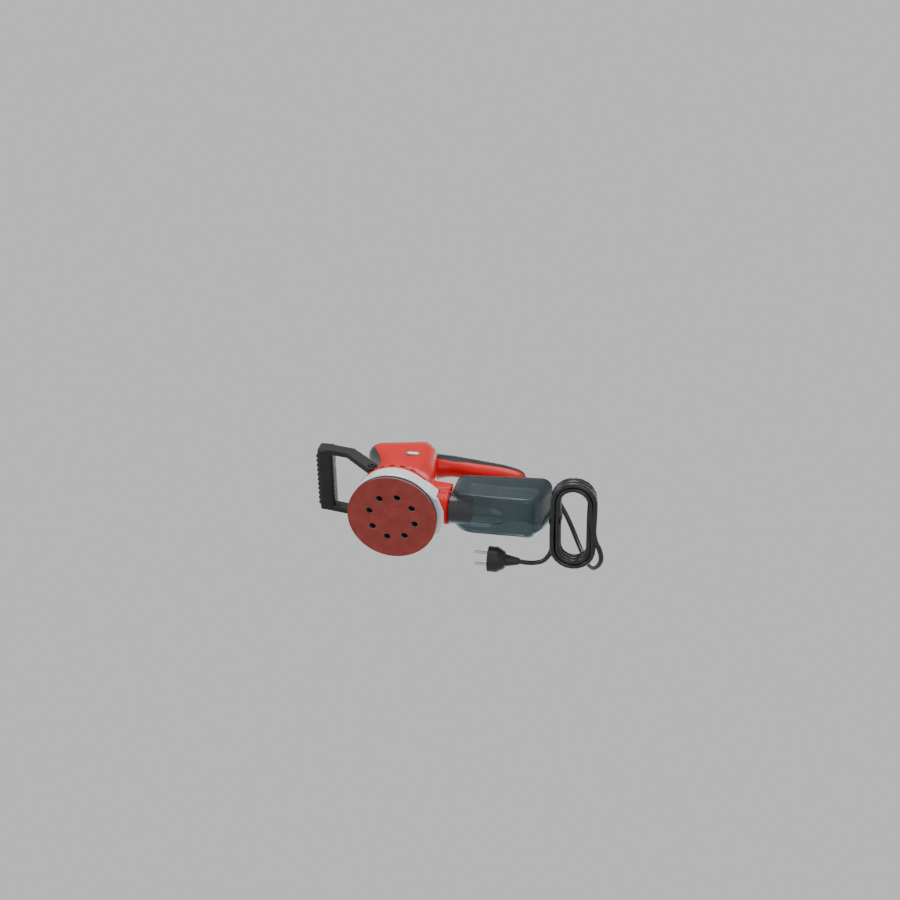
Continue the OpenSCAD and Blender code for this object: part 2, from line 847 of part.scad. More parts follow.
// Rocker, pressed at its lower end when at rest
module switch_rocker() {
    color("black") translate(rocker_at) rotate([0, rocker_tilt + rocker_rest, 0]) hull() {
        for (y = [7, -7], z = [10.5, -10.5]) translate([-3.4, y, z]) sphere(r = 2, $fn = 24);
        for (y = [7, -7], z = [9.5, -9.5]) translate([2.4, y, z]) sphere(r = 1.6, $fn = 24);
    }
}

module speed_dial() {
    color("black") translate(dial_at) difference() {
        rod_y(-dial_w / 2, dial_w / 2, dial_r);
        for (a = [0:15:345]) rotate([0, a, 0])
            translate([dial_r + 0.4, 0, 0]) rod_y(-4, 4, 0.9);
        rod_y(-4, 4, 2.5);
    }
}

module dial_potentiometer() {
    color("steelblue") translate(dial_at) {
        rod_y(dial_w / 2 + 0.6, dial_w / 2 + 7, 5.5);
        rod_y(-dial_w / 2 - 1, dial_w / 2 + 1, 2.5 - fit);
    }
}

module speed_board() {
    color("green") translate([54, -9, board_z]) cube([44, 18, 1.6]);
}

module capacitor() {
    color("gold") translate([76, -7, board_z + 1.6]) cube([18, 14, 5.5]);
}

module terminal_block() {
    color("ivory") difference() {
        translate([104, -9, terminal_z]) cube([16, 18, 9]);
        for (y = [-5.5, 0, 5.5]) translate([112, y, terminal_z + 4]) cylinder(h = 10, r = 1.6);
    }
}

module cord_clamp() {
    color("black") difference() {
        translate([clamp_x, -9, clamp_z]) cube([9, 18, clamp_t]);
        for (y = [-6, 6]) translate([clamp_x + 4.5, y, clamp_z - 1])
            cylinder(h = clamp_t + 2, r = 1.5);
    }
}

module cord_clamp_screws() {
    color("silver") for (y = [-6, 6]) translate([clamp_x + 4.5, y, clamp_z + clamp_t]) {
        translate([0, 0, -9]) cylinder(h = 9, r = 1.5);
        cylinder(h = 2, r = 2.8);
    }
}

// Tapered guard that points down and back from the end of the handle
module guard_form(grow) {
    base = [handle_reach - 6, 0, 131.5 + hz];
    way = guard_tip - base;
    slope = atan2(base[2] - guard_tip[2], guard_tip[0] - base[0]);
    translate(base) rotate([0, 90 + slope, 0]) {
        translate([0, 0, -4]) cylinder(h = 6, r = 8.5 + grow);
        cylinder(h = norm(way), r1 = 6.4 + grow, r2 = cord_r + 1.2 + grow);
    }
}

module cord_guard() {
    color("black") guard_form(0);
}

module power_cord() {
    color("black") tube(smooth(CORD_ROUTE, 3), cord_r, 10);
}

module plug_lead() {
    color("black") tube(smooth(PLUG_ROUTE, 2), cord_r, 10);
}

module stadium(r, run) {
    for (s = [1, -1]) translate([0, s * run / 2]) circle(r = r);
    square([2 * r, run], center = true);
}

module cord_coil() {
    color("black") translate([hank_at[0], hank_at[1], 0]) linear_extrude(hank_h) difference() {
        stadium(hank_r, hank_run);
        stadium(hank_r - hank_w, hank_run);
    }
}

// Tie round one side of the hank, open where the hank rests on the floor
module cord_tie() {
    tie_t = 1;
    tie_w = 8;
    color("dimgray") translate([hank_at[0] - hank_r + hank_w / 2, hank_at[1] - 6, hank_h / 2])
        difference() {
            cube([hank_w + 2 * tie_t, tie_w, hank_h + 2 * tie_t], center = true);
            cube([hank_w, tie_w + 2, hank_h], center = true);
            translate([0, 0, -hank_h / 2 - 3]) cube([40, 20, 6], center = true);
        }
}

module plug_body() {
    color("black") translate(plug_at) rotate([0, -90, 0]) {
        cylinder(h = 20, r1 = cord_r + 1.2, r2 = 9);
        translate([0, 0, 20]) cylinder(h = 10, r1 = 12, r2 = 18);
        translate([0, 0, 30]) cylinder(h = plug_l - 30, r = 18);
    }
}

module plug_pins() {
    color("silver") translate(plug_at) for (y = [-9.5, 9.5])
        translate([-plug_l - 19, y, 0]) rod_x(0, 19, 2.4);
}

// ---------- front handle ----------

module arm(s) {
    y0 = s > 0 ? bow_hw - arm_t : -bow_hw;
    hull() {
        translate([pivot_x, 0, pivot_z])
            rod_y(s > 0 ? eye_in : -eye_in - eye_t, s > 0 ? eye_in + eye_t : -eye_in, eye_r, $fn = 32);
        translate([bend_x - 4, y0, bend_z - arm_h / 2]) cube([8, arm_t, arm_h]);
    }
    hull() {
        translate([bend_x - 4, y0, bend_z - arm_h / 2]) cube([8, arm_t, arm_h]);
        translate([4 - bow_reach, y0, bow_z - arm_h / 2]) cube([10, arm_t, arm_h]);
    }
}

module front_handle() {
    grip_x = 6 - bow_reach;
    color("black") difference() {
        union() {
            for (s = [1, -1]) arm(s);
            hull() for (x = [grip_x + 1, grip_x + 13], z = [-7, 7])
                translate([x, 0, bow_z + z]) rod_y(-bow_hw + 2, bow_hw - 2, 5, $fn = 32);
            for (i = [-5:5]) translate([-bow_reach, i * 7.6 - 2.3, bow_z - 10]) cube([5, 4.6, 20]);
        }
        translate([pivot_x, 0, pivot_z]) rod_y(-80, 80, clamp_d / 2 + fit);
        translate([pivot_x, 0, pivot_z]) rod_y(eye_in + 6.5, 80, clamp_d / 2 + 2.5);
        translate([pivot_x, 0, pivot_z]) rod_y(-80, -eye_in - 6.5, clamp_d / 2 + 2.5);
    }
}

module clamp_screws() {
    color("silver") for (m = [0, 1]) translate([pivot_x, 0, pivot_z]) mirror([0, m, 0]) difference() {
        union() {
            rod_y(boss_y - 10, eye_in + 6.8, clamp_d / 2);
            rod_y(eye_in + 6.8, eye_in + 10, clamp_d / 2 + 2.1);
        }
        rod_y(eye_in + 8, eye_in + 12, 2.3, $fn = 6);
    }
}

// ---------- dust box ----------

// Dust box outline as level slices, like those of the motor body
function box_slices() = [
    [24.5, box_x + 78, box_end - 26, box_w / 2 - 10, 6, box_w / 2 - 10],
    [27, box_x + 30, box_end - 20, box_w / 2 - 7.5, 7, box_w / 2 - 7],
    [30, box_x + 15, box_end - 17, box_w / 2 - 6.5, 8, box_w / 2 - 6.5],
    [38, box_x + 5, box_end - 12, box_w / 2 - 5, 9, box_w / 2 - 6],
    [50, box_x, box_end - 7, box_w / 2 - 3.5, 11, box_w / 2 - 6],
    [box_top, box_x, box_end, box_w / 2, 15, box_w / 2 - 5.5]];

module box_form(inset) {
    level_loft([for (s = box_slices())
        [s[0] + (s[0] < box_top ? inset : 0), s[1], s[2], s[3], s[4], s[5]]], inset, 0);
}

// Neck along X, whose closed end tapers into the floor of the box
module neck_form(x0, r, tip_r) {
    translate([0, 0, port_z]) {
        rod_x(x0, box_x + 58, r);
        translate([box_x + 58, 0, 0]) rotate([0, 90, 0]) cylinder(h = 28, r1 = r, r2 = tip_r);
    }
}

module dust_box() {
    $fn = 28;
    color("darkslategray", 0.6) difference() {
        union() {
            box_form(0);
            neck_form(collar_end + 0.4, neck_r, neck_r - 7);
        }
        difference() {
            box_form(box_wall);
            translate([0, 0, port_z]) rod_x(collar_end, spigot_end - 2, neck_r);
        }
        translate([0, 0, box_top - 3]) box_mouth(box_wall, 20);
        translate([0, 0, port_z]) rod_x(collar_end - 1, spigot_end + 2, neck_in);
        neck_form(spigot_end + 1, neck_in - 1, neck_r - 9.5);
    }
}

// Mouth of the dust box, which the cover closes
module box_mouth(inset, h) {
    s = box_slices()[5];
    linear_extrude(h) hull() for (m = [0, 1]) mirror([0, m]) {
        translate([s[2] - s[4], s[3] - s[4]]) circle(r = s[4] - inset, $fn = 24);
        translate([s[1] + s[4], s[5] - s[4]]) circle(r = s[4] - inset, $fn = 24);
    }
}

module dust_box_cover() {
    color("black") {
        translate([0, 0, box_top - cover_lip]) box_mouth(box_wall, cover_lip + eps);
        translate([0, 0, box_top + eps]) box_mouth(0, cover_t);
    }
}

module dust_filter() {
    pleats = 16;
    pitch = 6;
    frame_z = port_z + neck_r + 0.3;
    color("ivory") translate([box_x + 22, -25, frame_z]) {
        cube([pleats * pitch, 50, 4]);
        for (i = [0:pleats - 1]) translate([2 + i * pitch, 2, 3])
            cube([2.4, 46, box_top - cover_lip - frame_z - 3]);
    }
}

housing_left();
housing_right();
soft_grip_left();
soft_grip_right();
front_cover();
housing_screws();
gear_housing();
gear_housing_screws();
brake_ring();
dust_collar();
stator_core();
field_coils();
brush_holders();
carbon_brushes();
brush_springs();
upper_bearing_outer();
upper_bearing_balls();
upper_bearing_inner();
bearing_sleeve();
lower_bearing_outer();
lower_bearing_balls();
lower_bearing_inner();
switch_unit();
switch_rocker();
speed_dial();
dial_potentiometer();
speed_board();
capacitor();
terminal_block();
cord_clamp();
cord_clamp_screws();
cord_guard();
power_cord();
cord_coil();
cord_tie();
plug_lead();
plug_body();
plug_pins();
badge();
motor_shaft();
armature_core();
armature_windings();
commutator();
cooling_fan();
eccentric_hub();
dust_fan();
pad_bearing_outer();
pad_bearing_balls();
pad_bearing_inner();
pad_spindle();
backing_plate();
foam_pad();
hook_layer();
sanding_disc();
pad_screw();
front_handle();
clamp_screws();
dust_box();
dust_box_cover();
dust_filter();
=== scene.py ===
import math

import bmesh
import bpy
from mathutils import Matrix, Vector


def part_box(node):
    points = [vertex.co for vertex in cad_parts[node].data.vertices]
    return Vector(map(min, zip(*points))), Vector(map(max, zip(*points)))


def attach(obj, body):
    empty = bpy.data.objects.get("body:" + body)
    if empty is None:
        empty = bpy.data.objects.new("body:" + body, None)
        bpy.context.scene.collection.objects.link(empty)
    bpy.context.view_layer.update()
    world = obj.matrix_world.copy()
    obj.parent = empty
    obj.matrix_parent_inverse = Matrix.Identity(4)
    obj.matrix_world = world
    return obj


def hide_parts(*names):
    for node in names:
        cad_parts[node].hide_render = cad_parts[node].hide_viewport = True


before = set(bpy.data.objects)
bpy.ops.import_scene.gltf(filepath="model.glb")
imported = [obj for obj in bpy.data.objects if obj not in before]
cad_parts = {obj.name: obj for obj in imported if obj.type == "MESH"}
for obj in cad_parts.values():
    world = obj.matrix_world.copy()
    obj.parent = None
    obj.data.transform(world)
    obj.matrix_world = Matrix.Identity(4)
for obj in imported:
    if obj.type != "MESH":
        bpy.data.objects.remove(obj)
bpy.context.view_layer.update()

# ---- Camera, studio light and floor ----
# The camera stands below and to the left of the tool, as if the tool lay on its side,
# so the floor is made to show only from above.
camera = bpy.data.objects.new("camera", bpy.data.cameras.new("camera"))
bpy.context.scene.collection.objects.link(camera)
camera.matrix_world = Matrix(((0.98216, -0.08053, 0.16994, 0.4113),
                              (0.01268, -0.87326, -0.48709, -1.0519),
                              (0.18763, 0.48055, -0.85666, -1.6498),
                              (0, 0, 0, 1)))
camera.data.sensor_width = 36
camera.data.lens = 58.3
camera.data.clip_start = 0.01
camera.data.clip_end = 50
bpy.context.scene.camera = camera


def new_material(name):
    material = bpy.data.materials.new(name)
    material.use_nodes = True
    return material, material.node_tree.nodes, material.node_tree.links


def area_light(name, at, towards, size, watts):
    light = bpy.data.objects.new(name, bpy.data.lights.new(name, "AREA"))
    light.data.shape = "DISK"
    light.data.size = size
    light.data.energy = watts
    light.location = at
    aim = Vector(towards) - Vector(at)
    light.rotation_mode = "QUATERNION"
    light.rotation_quaternion = aim.to_track_quat("-Z", "Y")
    bpy.context.scene.collection.objects.link(light)


MIDDLE = (0.05, 0, 0.08)
area_light("key", (-0.1, -1.7, 0.5), MIDDLE, 1.1, 26)
area_light("below", (0.9, -0.9, -1.5), MIDDLE, 1.3, 9)
area_light("front_left", (-1.5, -0.7, -0.6), MIDDLE, 0.9, 9)
area_light("above", (0.2, 0.4, 1.8), MIDDLE, 1.2, 14)
area_light("right", (0.6, 1.6, 0.9), MIDDLE, 1.2, 8)

world = bpy.data.worlds.new("studio")
world.use_nodes = True
world.node_tree.nodes["Background"].inputs["Color"].default_value = (0.86, 0.87, 0.88, 1)
world.node_tree.nodes["Background"].inputs["Strength"].default_value = 0.75
bpy.context.scene.world = world

floor_bm = bmesh.new()
bmesh.ops.create_grid(floor_bm, x_segments=1, y_segments=1, size=4,
                      matrix=Matrix.Translation((0, 0, -0.0003)))
floor_mesh = bpy.data.meshes.new("floor")
floor_bm.to_mesh(floor_mesh)
floor = bpy.data.objects.new("floor", floor_mesh)
bpy.context.scene.collection.objects.link(floor)
floor_look, nodes, links = new_material("pale_floor")
nodes["Principled BSDF"].inputs["Base Color"].default_value = (0.8, 0.8, 0.79, 1)
nodes["Principled BSDF"].inputs["Roughness"].default_value = 0.9
side = nodes.new("ShaderNodeNewGeometry")
clear = nodes.new("ShaderNodeBsdfTransparent")
mix = nodes.new("ShaderNodeMixShader")
links.new(side.outputs["Backfacing"], mix.inputs[0])
links.new(nodes["Principled BSDF"].outputs[0], mix.inputs[1])
links.new(clear.outputs[0], mix.inputs[2])
links.new(mix.outputs[0], nodes["Material Output"].inputs["Surface"])
floor_mesh.materials.append(floor_look)
floor.visible_shadow = False
floor.visible_diffuse = False
floor.visible_glossy = False
floor.visible_transmission = False

# ---- Mains lead ----
# A black rubber-sheathed lead, 7 mm thick and 2 m long. It leaves the guard, swings down
# to the floor and is folded into a hank of six turns, and its end lies beside it.
MM = 0.001
CORD_D = 7
CORD_ROUTE = [[196, 0, 116], [206, 3, 110.5], [218, 14, 104], [230, 30, 97],
              [241, 46, 86], [251, 58, 70], [261, 66, 52], [270, 68, 33], [279, 62, 17],
              [286, 51, 8], [289, 38, 4.5], [286.5, 24, 3.5], [281, 12, 3.5], [278, -2, 3.5]]
PLUG_ROUTE = [[222, 6, 17.5], [222, 20, 17.5], [221, 34, 16.5], [217, 47, 15.5],
              [209, 57, 15], [198, 62, 16], [187, 64, 17.5], [176, 64, 18.5]]
HANK_AT = (250, -10)
HANK_RUN = 72
# Each turn's bend radius and height, from the first on the floor to the last on top
HANK_TURNS = [(28, 3.5), (21, 3.5), (21, 10.5), (28, 10.5), (21, 17.5), (28, 17.5)]


def flowing(points, steps):
    """A smooth line through points, with this many steps between each two."""
    points = [Vector(p) for p in points]
    line = []
    for i in range(len(points) - 1):
        a, b = points[max(i - 1, 0)], points[i]
        c, d = points[i + 1], points[min(i + 2, len(points) - 1)]
        for k in range(steps):
            t = k / steps
            line.append(0.5 * (2 * b + (c - a) * t + (2 * a - 5 * b + 4 * c - d) * t * t
                               + (3 * b - a - 3 * c + d) * t ** 3))
    return line + [points[-1]]


def hank_point(turn):
    """A point on the hank, where a whole turn runs clockwise from the middle of its right side."""
    spot = min(max(turn - 0.25, 0), len(HANK_TURNS) - 1)
    low = min(int(spot), len(HANK_TURNS) - 2)
    ease = min(max((spot - low - 0.55) / 0.45, 0), 1)
    ease = ease * ease * (3 - 2 * ease)
    (r0, z0), (r1, z1) = HANK_TURNS[low], HANK_TURNS[low + 1]
    r, z = r0 + (r1 - r0) * ease, z0 + (z1 - z0) * ease
    loop = 2 * HANK_RUN + 2 * math.pi * r
    s = (turn % 1) * loop
    half = HANK_RUN / 2
    if s < half:
        x, y = r, -s
    elif s < half + math.pi * r:
        a = (s - half) / r
        x, y = r * math.cos(a), -half - r * math.sin(a)
    elif s < half + math.pi * r + HANK_RUN:
        x, y = -r, -half + (s - half - math.pi * r)
    elif s < half + 2 * math.pi * r + HANK_RUN:
        a = (s - half - math.pi * r - HANK_RUN) / r
        x, y = -r * math.cos(a), half + r * math.sin(a)
    else:
        x, y = r, loop - s
    sway = 0.9 * math.sin(2 * math.pi * 2.3 * turn) * math.cos(2 * math.pi * turn)
    return Vector((HANK_AT[0] + x + sway * 0.5, HANK_AT[1] + y, z))


HANK_START = -(CORD_ROUTE[-1][1] - HANK_AT[1]) / (2 * HANK_RUN + 2 * math.pi * 28)
HANK_END = 5.5 + (PLUG_ROUTE[0][1] - HANK_AT[1]) / (2 * HANK_RUN + 2 * math.pi * 28)
STEPS_A_TURN = 40
hank_steps = int((HANK_END - HANK_START) * STEPS_A_TURN)
hank = [hank_point(HANK_START + (HANK_END - HANK_START) * i / hank_steps)
        for i in range(1, hank_steps)]
lead_line = [p * MM for p in flowing(CORD_ROUTE, 4) + hank + flowing(PLUG_ROUTE, 4)]
lead_curve = bpy.data.curves.new("mains_lead", "CURVE")
lead_curve.dimensions = "3D"
spline = lead_curve.splines.new("POLY")
spline.points.add(len(lead_line) - 1)
for point, co in zip(spline.points, lead_line):
    point.co = (*co, 1)
    point.radius = CORD_D / 2 * MM
lead_curve.bevel_depth = 1
lead_curve.bevel_resolution = 3
lead_curve.use_fill_caps = True
lead = bpy.data.objects.new("mains_lead", lead_curve)
bpy.context.scene.collection.objects.link(lead)
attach(lead, "body")
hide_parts("power_cord", "cord_coil", "plug_lead")


def new_group(name, sockets):
    """A shader node group whose sockets are given as (name, direction, kind, value)."""
    group = bpy.data.node_groups.new(name, "ShaderNodeTree")
    for label, direction, kind, value in sockets:
        socket = group.interface.new_socket(name=label, in_out=direction, socket_type=kind)
        if value is not None:
            socket.default_value = value
    return group, group.nodes.new("NodeGroupInput"), group.nodes.new("NodeGroupOutput")


# A fine moulded grain: its height goes to a Bump node, and its roughness varies a little.
surface_grain, given, out = new_group("surface_grain", [
    ("Scale", "INPUT", "NodeSocketFloat", 900.0),
    ("Low Roughness", "INPUT", "NodeSocketFloat", 0.3),
    ("High Roughness", "INPUT", "NodeSocketFloat", 0.5),
    ("Height", "OUTPUT", "NodeSocketFloat", None),
    ("Roughness", "OUTPUT", "NodeSocketFloat", None)])
place = surface_grain.nodes.new("ShaderNodeTexCoord")
fine = surface_grain.nodes.new("ShaderNodeTexNoise")
fine.inputs["Detail"].default_value = 3
broad = surface_grain.nodes.new("ShaderNodeTexNoise")
broad.inputs["Scale"].default_value = 60
broad.inputs["Detail"].default_value = 4
spread = surface_grain.nodes.new("ShaderNodeMapRange")
for a, b in ((place.outputs["Object"], fine.inputs["Vector"]),
             (place.outputs["Object"], broad.inputs["Vector"]),
             (given.outputs["Scale"], fine.inputs["Scale"]),
             (broad.outputs["Fac"], spread.inputs["Value"]),
             (given.outputs["Low Roughness"], spread.inputs["To Min"]),
             (given.outputs["High Roughness"], spread.inputs["To Max"]),
             (fine.outputs["Fac"], out.inputs["Height"]),
             (spread.outputs["Result"], out.inputs["Roughness"])):
    surface_grain.links.new(a, b)

# Colour that drifts between two shades, in patches of a given size.
two_shades, given, out = new_group("two_shades", [
    ("Scale", "INPUT", "NodeSocketFloat", 40.0),
    ("First", "INPUT", "NodeSocketColor", (0.5, 0.5, 0.5, 1)),
    ("Second", "INPUT", "NodeSocketColor", (0.4, 0.4, 0.4, 1)),
    ("Color", "OUTPUT", "NodeSocketColor", None)])
place = two_shades.nodes.new("ShaderNodeTexCoord")
patch = two_shades.nodes.new("ShaderNodeTexNoise")
patch.inputs["Detail"].default_value = 6
steep = two_shades.nodes.new("ShaderNodeMapRange")
steep.inputs["From Min"].default_value = 0.32
steep.inputs["From Max"].default_value = 0.68
blend = two_shades.nodes.new("ShaderNodeMix")
blend.data_type = "RGBA"
for a, b in ((place.outputs["Object"], patch.inputs["Vector"]),
             (given.outputs["Scale"], patch.inputs["Scale"]),
             (patch.outputs["Fac"], steep.inputs["Value"]),
             (steep.outputs["Result"], blend.inputs["Factor"]),
             (given.outputs["First"], blend.inputs["A"]),
             (given.outputs["Second"], blend.inputs["B"]),
             (blend.outputs["Result"], out.inputs["Color"])):
    two_shades.links.new(a, b)


def finish_look(name, first, second, patch_scale, rough, grain_scale, grain_depth,
                metallic=0, coat=0, coat_rough=0.1, clear=0, ior=1.5, shine=0.3):
    """A material of two close shades with a grain. rough is its lowest and highest roughness."""
    material, nodes, links = new_material(name)
    shader = nodes["Principled BSDF"]
    shades = nodes.new("ShaderNodeGroup")
    shades.node_tree = two_shades
    shades.inputs["Scale"].default_value = patch_scale
    shades.inputs["First"].default_value = (*first, 1)
    shades.inputs["Second"].default_value = (*second, 1)
    grain = nodes.new("ShaderNodeGroup")
    grain.node_tree = surface_grain
    grain.inputs["Scale"].default_value = grain_scale
    grain.inputs["Low Roughness"].default_value = rough[0]
    grain.inputs["High Roughness"].default_value = rough[1]
    bump = nodes.new("ShaderNodeBump")
    bump.inputs["Strength"].default_value = 0.6
    bump.inputs["Distance"].default_value = grain_depth * MM
    links.new(shades.outputs["Color"], shader.inputs["Base Color"])
    links.new(grain.outputs["Roughness"], shader.inputs["Roughness"])
    links.new(grain.outputs["Height"], bump.inputs["Height"])
    links.new(bump.outputs["Normal"], shader.inputs["Normal"])
    shader.inputs["Metallic"].default_value = metallic
    shader.inputs["Specular IOR Level"].default_value = shine
    shader.inputs["Coat Weight"].default_value = coat
    shader.inputs["Coat Roughness"].default_value = coat_rough
    shader.inputs["Transmission Weight"].default_value = clear
    shader.inputs["IOR"].default_value = ior
    return material


def dress(node, material):
    """Gives a CAD node that stays in view its material."""
    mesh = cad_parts[node].data
    mesh.materials.clear()
    mesh.materials.append(material)


# The sheath is of smooth rubber. The plug's pins are plated, and a plastic strip ties the hank.
rubber_sheath = finish_look("rubber_sheath", (0.008, 0.008, 0.009), (0.014, 0.014, 0.015),
                            90, (0.2, 0.36), 2500, 0.03, shine=0.5)
hard_black = finish_look("hard_black_plastic", (0.016, 0.016, 0.017), (0.024, 0.024, 0.025),
                         120, (0.35, 0.55), 2200, 0.06)
plated = finish_look("plated_steel", (0.55, 0.55, 0.54), (0.68, 0.68, 0.67),
                     400, (0.2, 0.38), 3000, 0.02, metallic=1)
lead_curve.materials.append(rubber_sheath)
dress("cord_tie", hard_black)
dress("plug_pins", plated)


def shown(name, mesh, body, material, stands_for=()):
    """Puts a finished mesh in the scene as a piece that rides on a CAD body."""
    obj = bpy.data.objects.new(name, mesh)
    bpy.context.scene.collection.objects.link(obj)
    mesh.materials.clear()
    mesh.materials.append(material)
    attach(obj, body)
    if stands_for:
        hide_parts(*stands_for)
    return obj


def settled(obj):
    """The mesh of an object with its modifiers worked in; the object itself goes."""
    bpy.context.view_layer.update()
    mesh = bpy.data.meshes.new_from_object(
        obj.evaluated_get(bpy.context.evaluated_depsgraph_get()))
    bpy.data.objects.remove(obj)
    return mesh


def mesh_of(name, bm):
    """The finished mesh of a bmesh, which is freed."""
    mesh = bpy.data.meshes.new(name)
    bm.to_mesh(mesh)
    bm.free()
    return mesh


def helper(mesh):
    """A passing object that lets modifiers work on a mesh."""
    obj = bpy.data.objects.new(mesh.name, mesh)
    bpy.context.scene.collection.objects.link(obj)
    return obj


def soft_shaded(mesh, sharp_from=35):
    """Smooth shading, with edges steeper than this many degrees kept sharp."""
    bm = bmesh.new()
    bm.from_mesh(mesh)
    bmesh.ops.recalc_face_normals(bm, faces=bm.faces)
    limit = math.radians(sharp_from)
    for face in bm.faces:
        face.smooth = True
    for edge in bm.edges:
        edge.smooth = len(edge.link_faces) == 2 and edge.calc_face_angle(0) < limit
    bm.to_mesh(mesh)
    bm.free()
    return mesh


def rounded(mesh, voxel, rounds):
    """A closed mesh made again from small cubes of this size in mm, and rubbed smooth."""
    obj = helper(mesh)
    remesh = obj.modifiers.new("remesh", "REMESH")
    remesh.mode = "VOXEL"
    remesh.voxel_size = voxel * MM
    remesh.use_smooth_shade = True
    if rounds:
        smooth = obj.modifiers.new("smooth", "SMOOTH")
        smooth.factor = 0.5
        smooth.iterations = rounds
    mesh = settled(obj)
    for polygon in mesh.polygons:
        polygon.use_smooth = True
    return mesh


def from_cad(*names):
    """A merged copy of one or more CAD nodes' meshes."""
    bm = bmesh.new()
    for name in names:
        bm.from_mesh(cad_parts[name].data)
    bmesh.ops.remove_doubles(bm, verts=bm.verts, dist=0.00001)
    return mesh_of(names[0] + "_copy", bm)


# The plug is a round two-pin one, moulded in black rubber on the end of the lead.
plug = shown("plug", rounded(from_cad("plug_body"), 0.7, 5), "body",
             hard_black, ["plug_body"])

# ---- Cord guard ----
# A tapered rubber sleeve with grooves round it, which lets the lead bend where it leaves
# the handle. It is turned here about the line from the handle to the lead.
def turned(name, profile, start, way, steps=64):
    """A closed round form: profile holds pairs of (distance along the way, radius), in mm."""
    bm = bmesh.new()
    spots = [bm.verts.new((r * MM, 0, d * MM)) for d, r in profile]
    edges = [bm.edges.new(pair) for pair in zip(spots, spots[1:])]
    bmesh.ops.spin(bm, geom=spots + edges, cent=(0, 0, 0), axis=(0, 0, 1),
                   angle=2 * math.pi, steps=steps, use_merge=True)
    bmesh.ops.remove_doubles(bm, verts=bm.verts, dist=0.000005)
    bmesh.ops.recalc_face_normals(bm, faces=bm.faces)
    turn = Vector(way).to_track_quat("Z", "Y").to_matrix().to_4x4()
    bmesh.ops.transform(bm, matrix=Matrix.Translation(Vector(start)) @ turn, verts=bm.verts)
    return soft_shaded(mesh_of(name, bm))


GUARD_GROOVES = 9
GROOVE_DEPTH = 0.9
GUARD_FLANGE_R = 8.4
GUARD_ROOT_R, GUARD_TIP_R = 6.5, 4.7
tip = Vector(lead_line[0])
root = Vector((0.160, 0, 0.1315))
sleeve = (tip - root).length / MM
guard_profile = [(-4, 0), (-4, GUARD_FLANGE_R), (2, GUARD_FLANGE_R)]
for i in range(GUARD_GROOVES):
    d = 5 + i * (sleeve - 6) / GUARD_GROOVES
    r = GUARD_ROOT_R - (GUARD_ROOT_R - GUARD_TIP_R) * d / sleeve
    guard_profile += [(d, r), (d + 0.3, r - GROOVE_DEPTH), (d + 1.2, r - GROOVE_DEPTH),
                      (d + 1.5, r)]
guard_profile += [(sleeve, GUARD_TIP_R), (sleeve, 3.4), (sleeve - 8, 0)]
soft_rubber = finish_look("soft_black_rubber", (0.014, 0.014, 0.015), (0.022, 0.022, 0.023),
                          150, (0.5, 0.7), 1800, 0.08)
shown("cord_guard_ribbed", turned("cord_guard_ribbed", guard_profile, root, tip - root),
      "body", soft_rubber, ["cord_guard"])

# ---- Sanding disc ----
# A paper disc with brown-red abrasive grit, 125 mm across, with eight dust holes. It clings
# to the hook layer above it. The grit is darker in patches, where dust has filled it.
grit, nodes, links = new_material("red_abrasive")
shader = nodes["Principled BSDF"]
place = nodes.new("ShaderNodeTexCoord")
blotch = nodes.new("ShaderNodeTexNoise")
blotch.inputs["Scale"].default_value = 45
blotch.inputs["Detail"].default_value = 9
blotch.inputs["Roughness"].default_value = 0.7
worn = nodes.new("ShaderNodeValToRGB")
worn.color_ramp.elements[0].position = 0.3
worn.color_ramp.elements[0].color = (0.19, 0.018, 0.013, 1)
worn.color_ramp.elements[1].position = 0.72
worn.color_ramp.elements[1].color = (0.31, 0.044, 0.032, 1)
grains = nodes.new("ShaderNodeTexVoronoi")
grains.inputs["Scale"].default_value = 1900
sparkle = nodes.new("ShaderNodeMapRange")
sparkle.inputs["To Min"].default_value = 0.55
sparkle.inputs["To Max"].default_value = 0.95
bump = nodes.new("ShaderNodeBump")
bump.inputs["Strength"].default_value = 0.8
bump.inputs["Distance"].default_value = 0.25 * MM
for a, b in ((place.outputs["Object"], blotch.inputs["Vector"]),
             (place.outputs["Object"], grains.inputs["Vector"]),
             (blotch.outputs["Fac"], worn.inputs["Fac"]),
             (worn.outputs["Color"], shader.inputs["Base Color"]),
             (grains.outputs["Distance"], sparkle.inputs["Value"]),
             (sparkle.outputs["Result"], shader.inputs["Roughness"]),
             (grains.outputs["Distance"], bump.inputs["Height"]),
             (bump.outputs["Normal"], shader.inputs["Normal"])):
    links.new(a, b)
dress("sanding_disc", grit)

# ---- Hook layer and foam pad ----
# The disc holds to a cloth of pale plastic hooks, which is glued to a pad of black
# open-celled foam. The foam lets the disc follow a curved surface.
hooks = finish_look("pale_hook_cloth", (0.42, 0.4, 0.37), (0.55, 0.53, 0.5), 500,
                    (0.85, 0.95), 4000, 0.2)
open_foam = finish_look("open_foam", (0.03, 0.03, 0.032), (0.055, 0.055, 0.058), 700,
                        (0.85, 0.97), 1500, 0.5)
dress("hook_layer", hooks)
dress("foam_pad", open_foam)

# ---- Backing plate, screw and spindle ----
# A stiff black plate is moulded to the foam. One steel screw through its middle holds it
# to the spindle, which turns in the pad's own bearing.
dress("backing_plate", hard_black)
dress("pad_screw", plated)
dress("pad_spindle", plated)

# ---- Gear housing ----
# An aluminium casting, painted silver. It holds the lower bearing and the dust fan, and
# it widens into a flare over the dust port. Its edges are rounded as cast.
silver = finish_look("silver_paint", (0.7, 0.74, 0.74), (0.78, 0.81, 0.81), 30,
                     (0.26, 0.4), 2600, 0.05, metallic=0.2, coat=0.3)
shown("gear_housing_cast", rounded(from_cad("gear_housing"), 1.0, 4), "body",
      silver, ["gear_housing"])

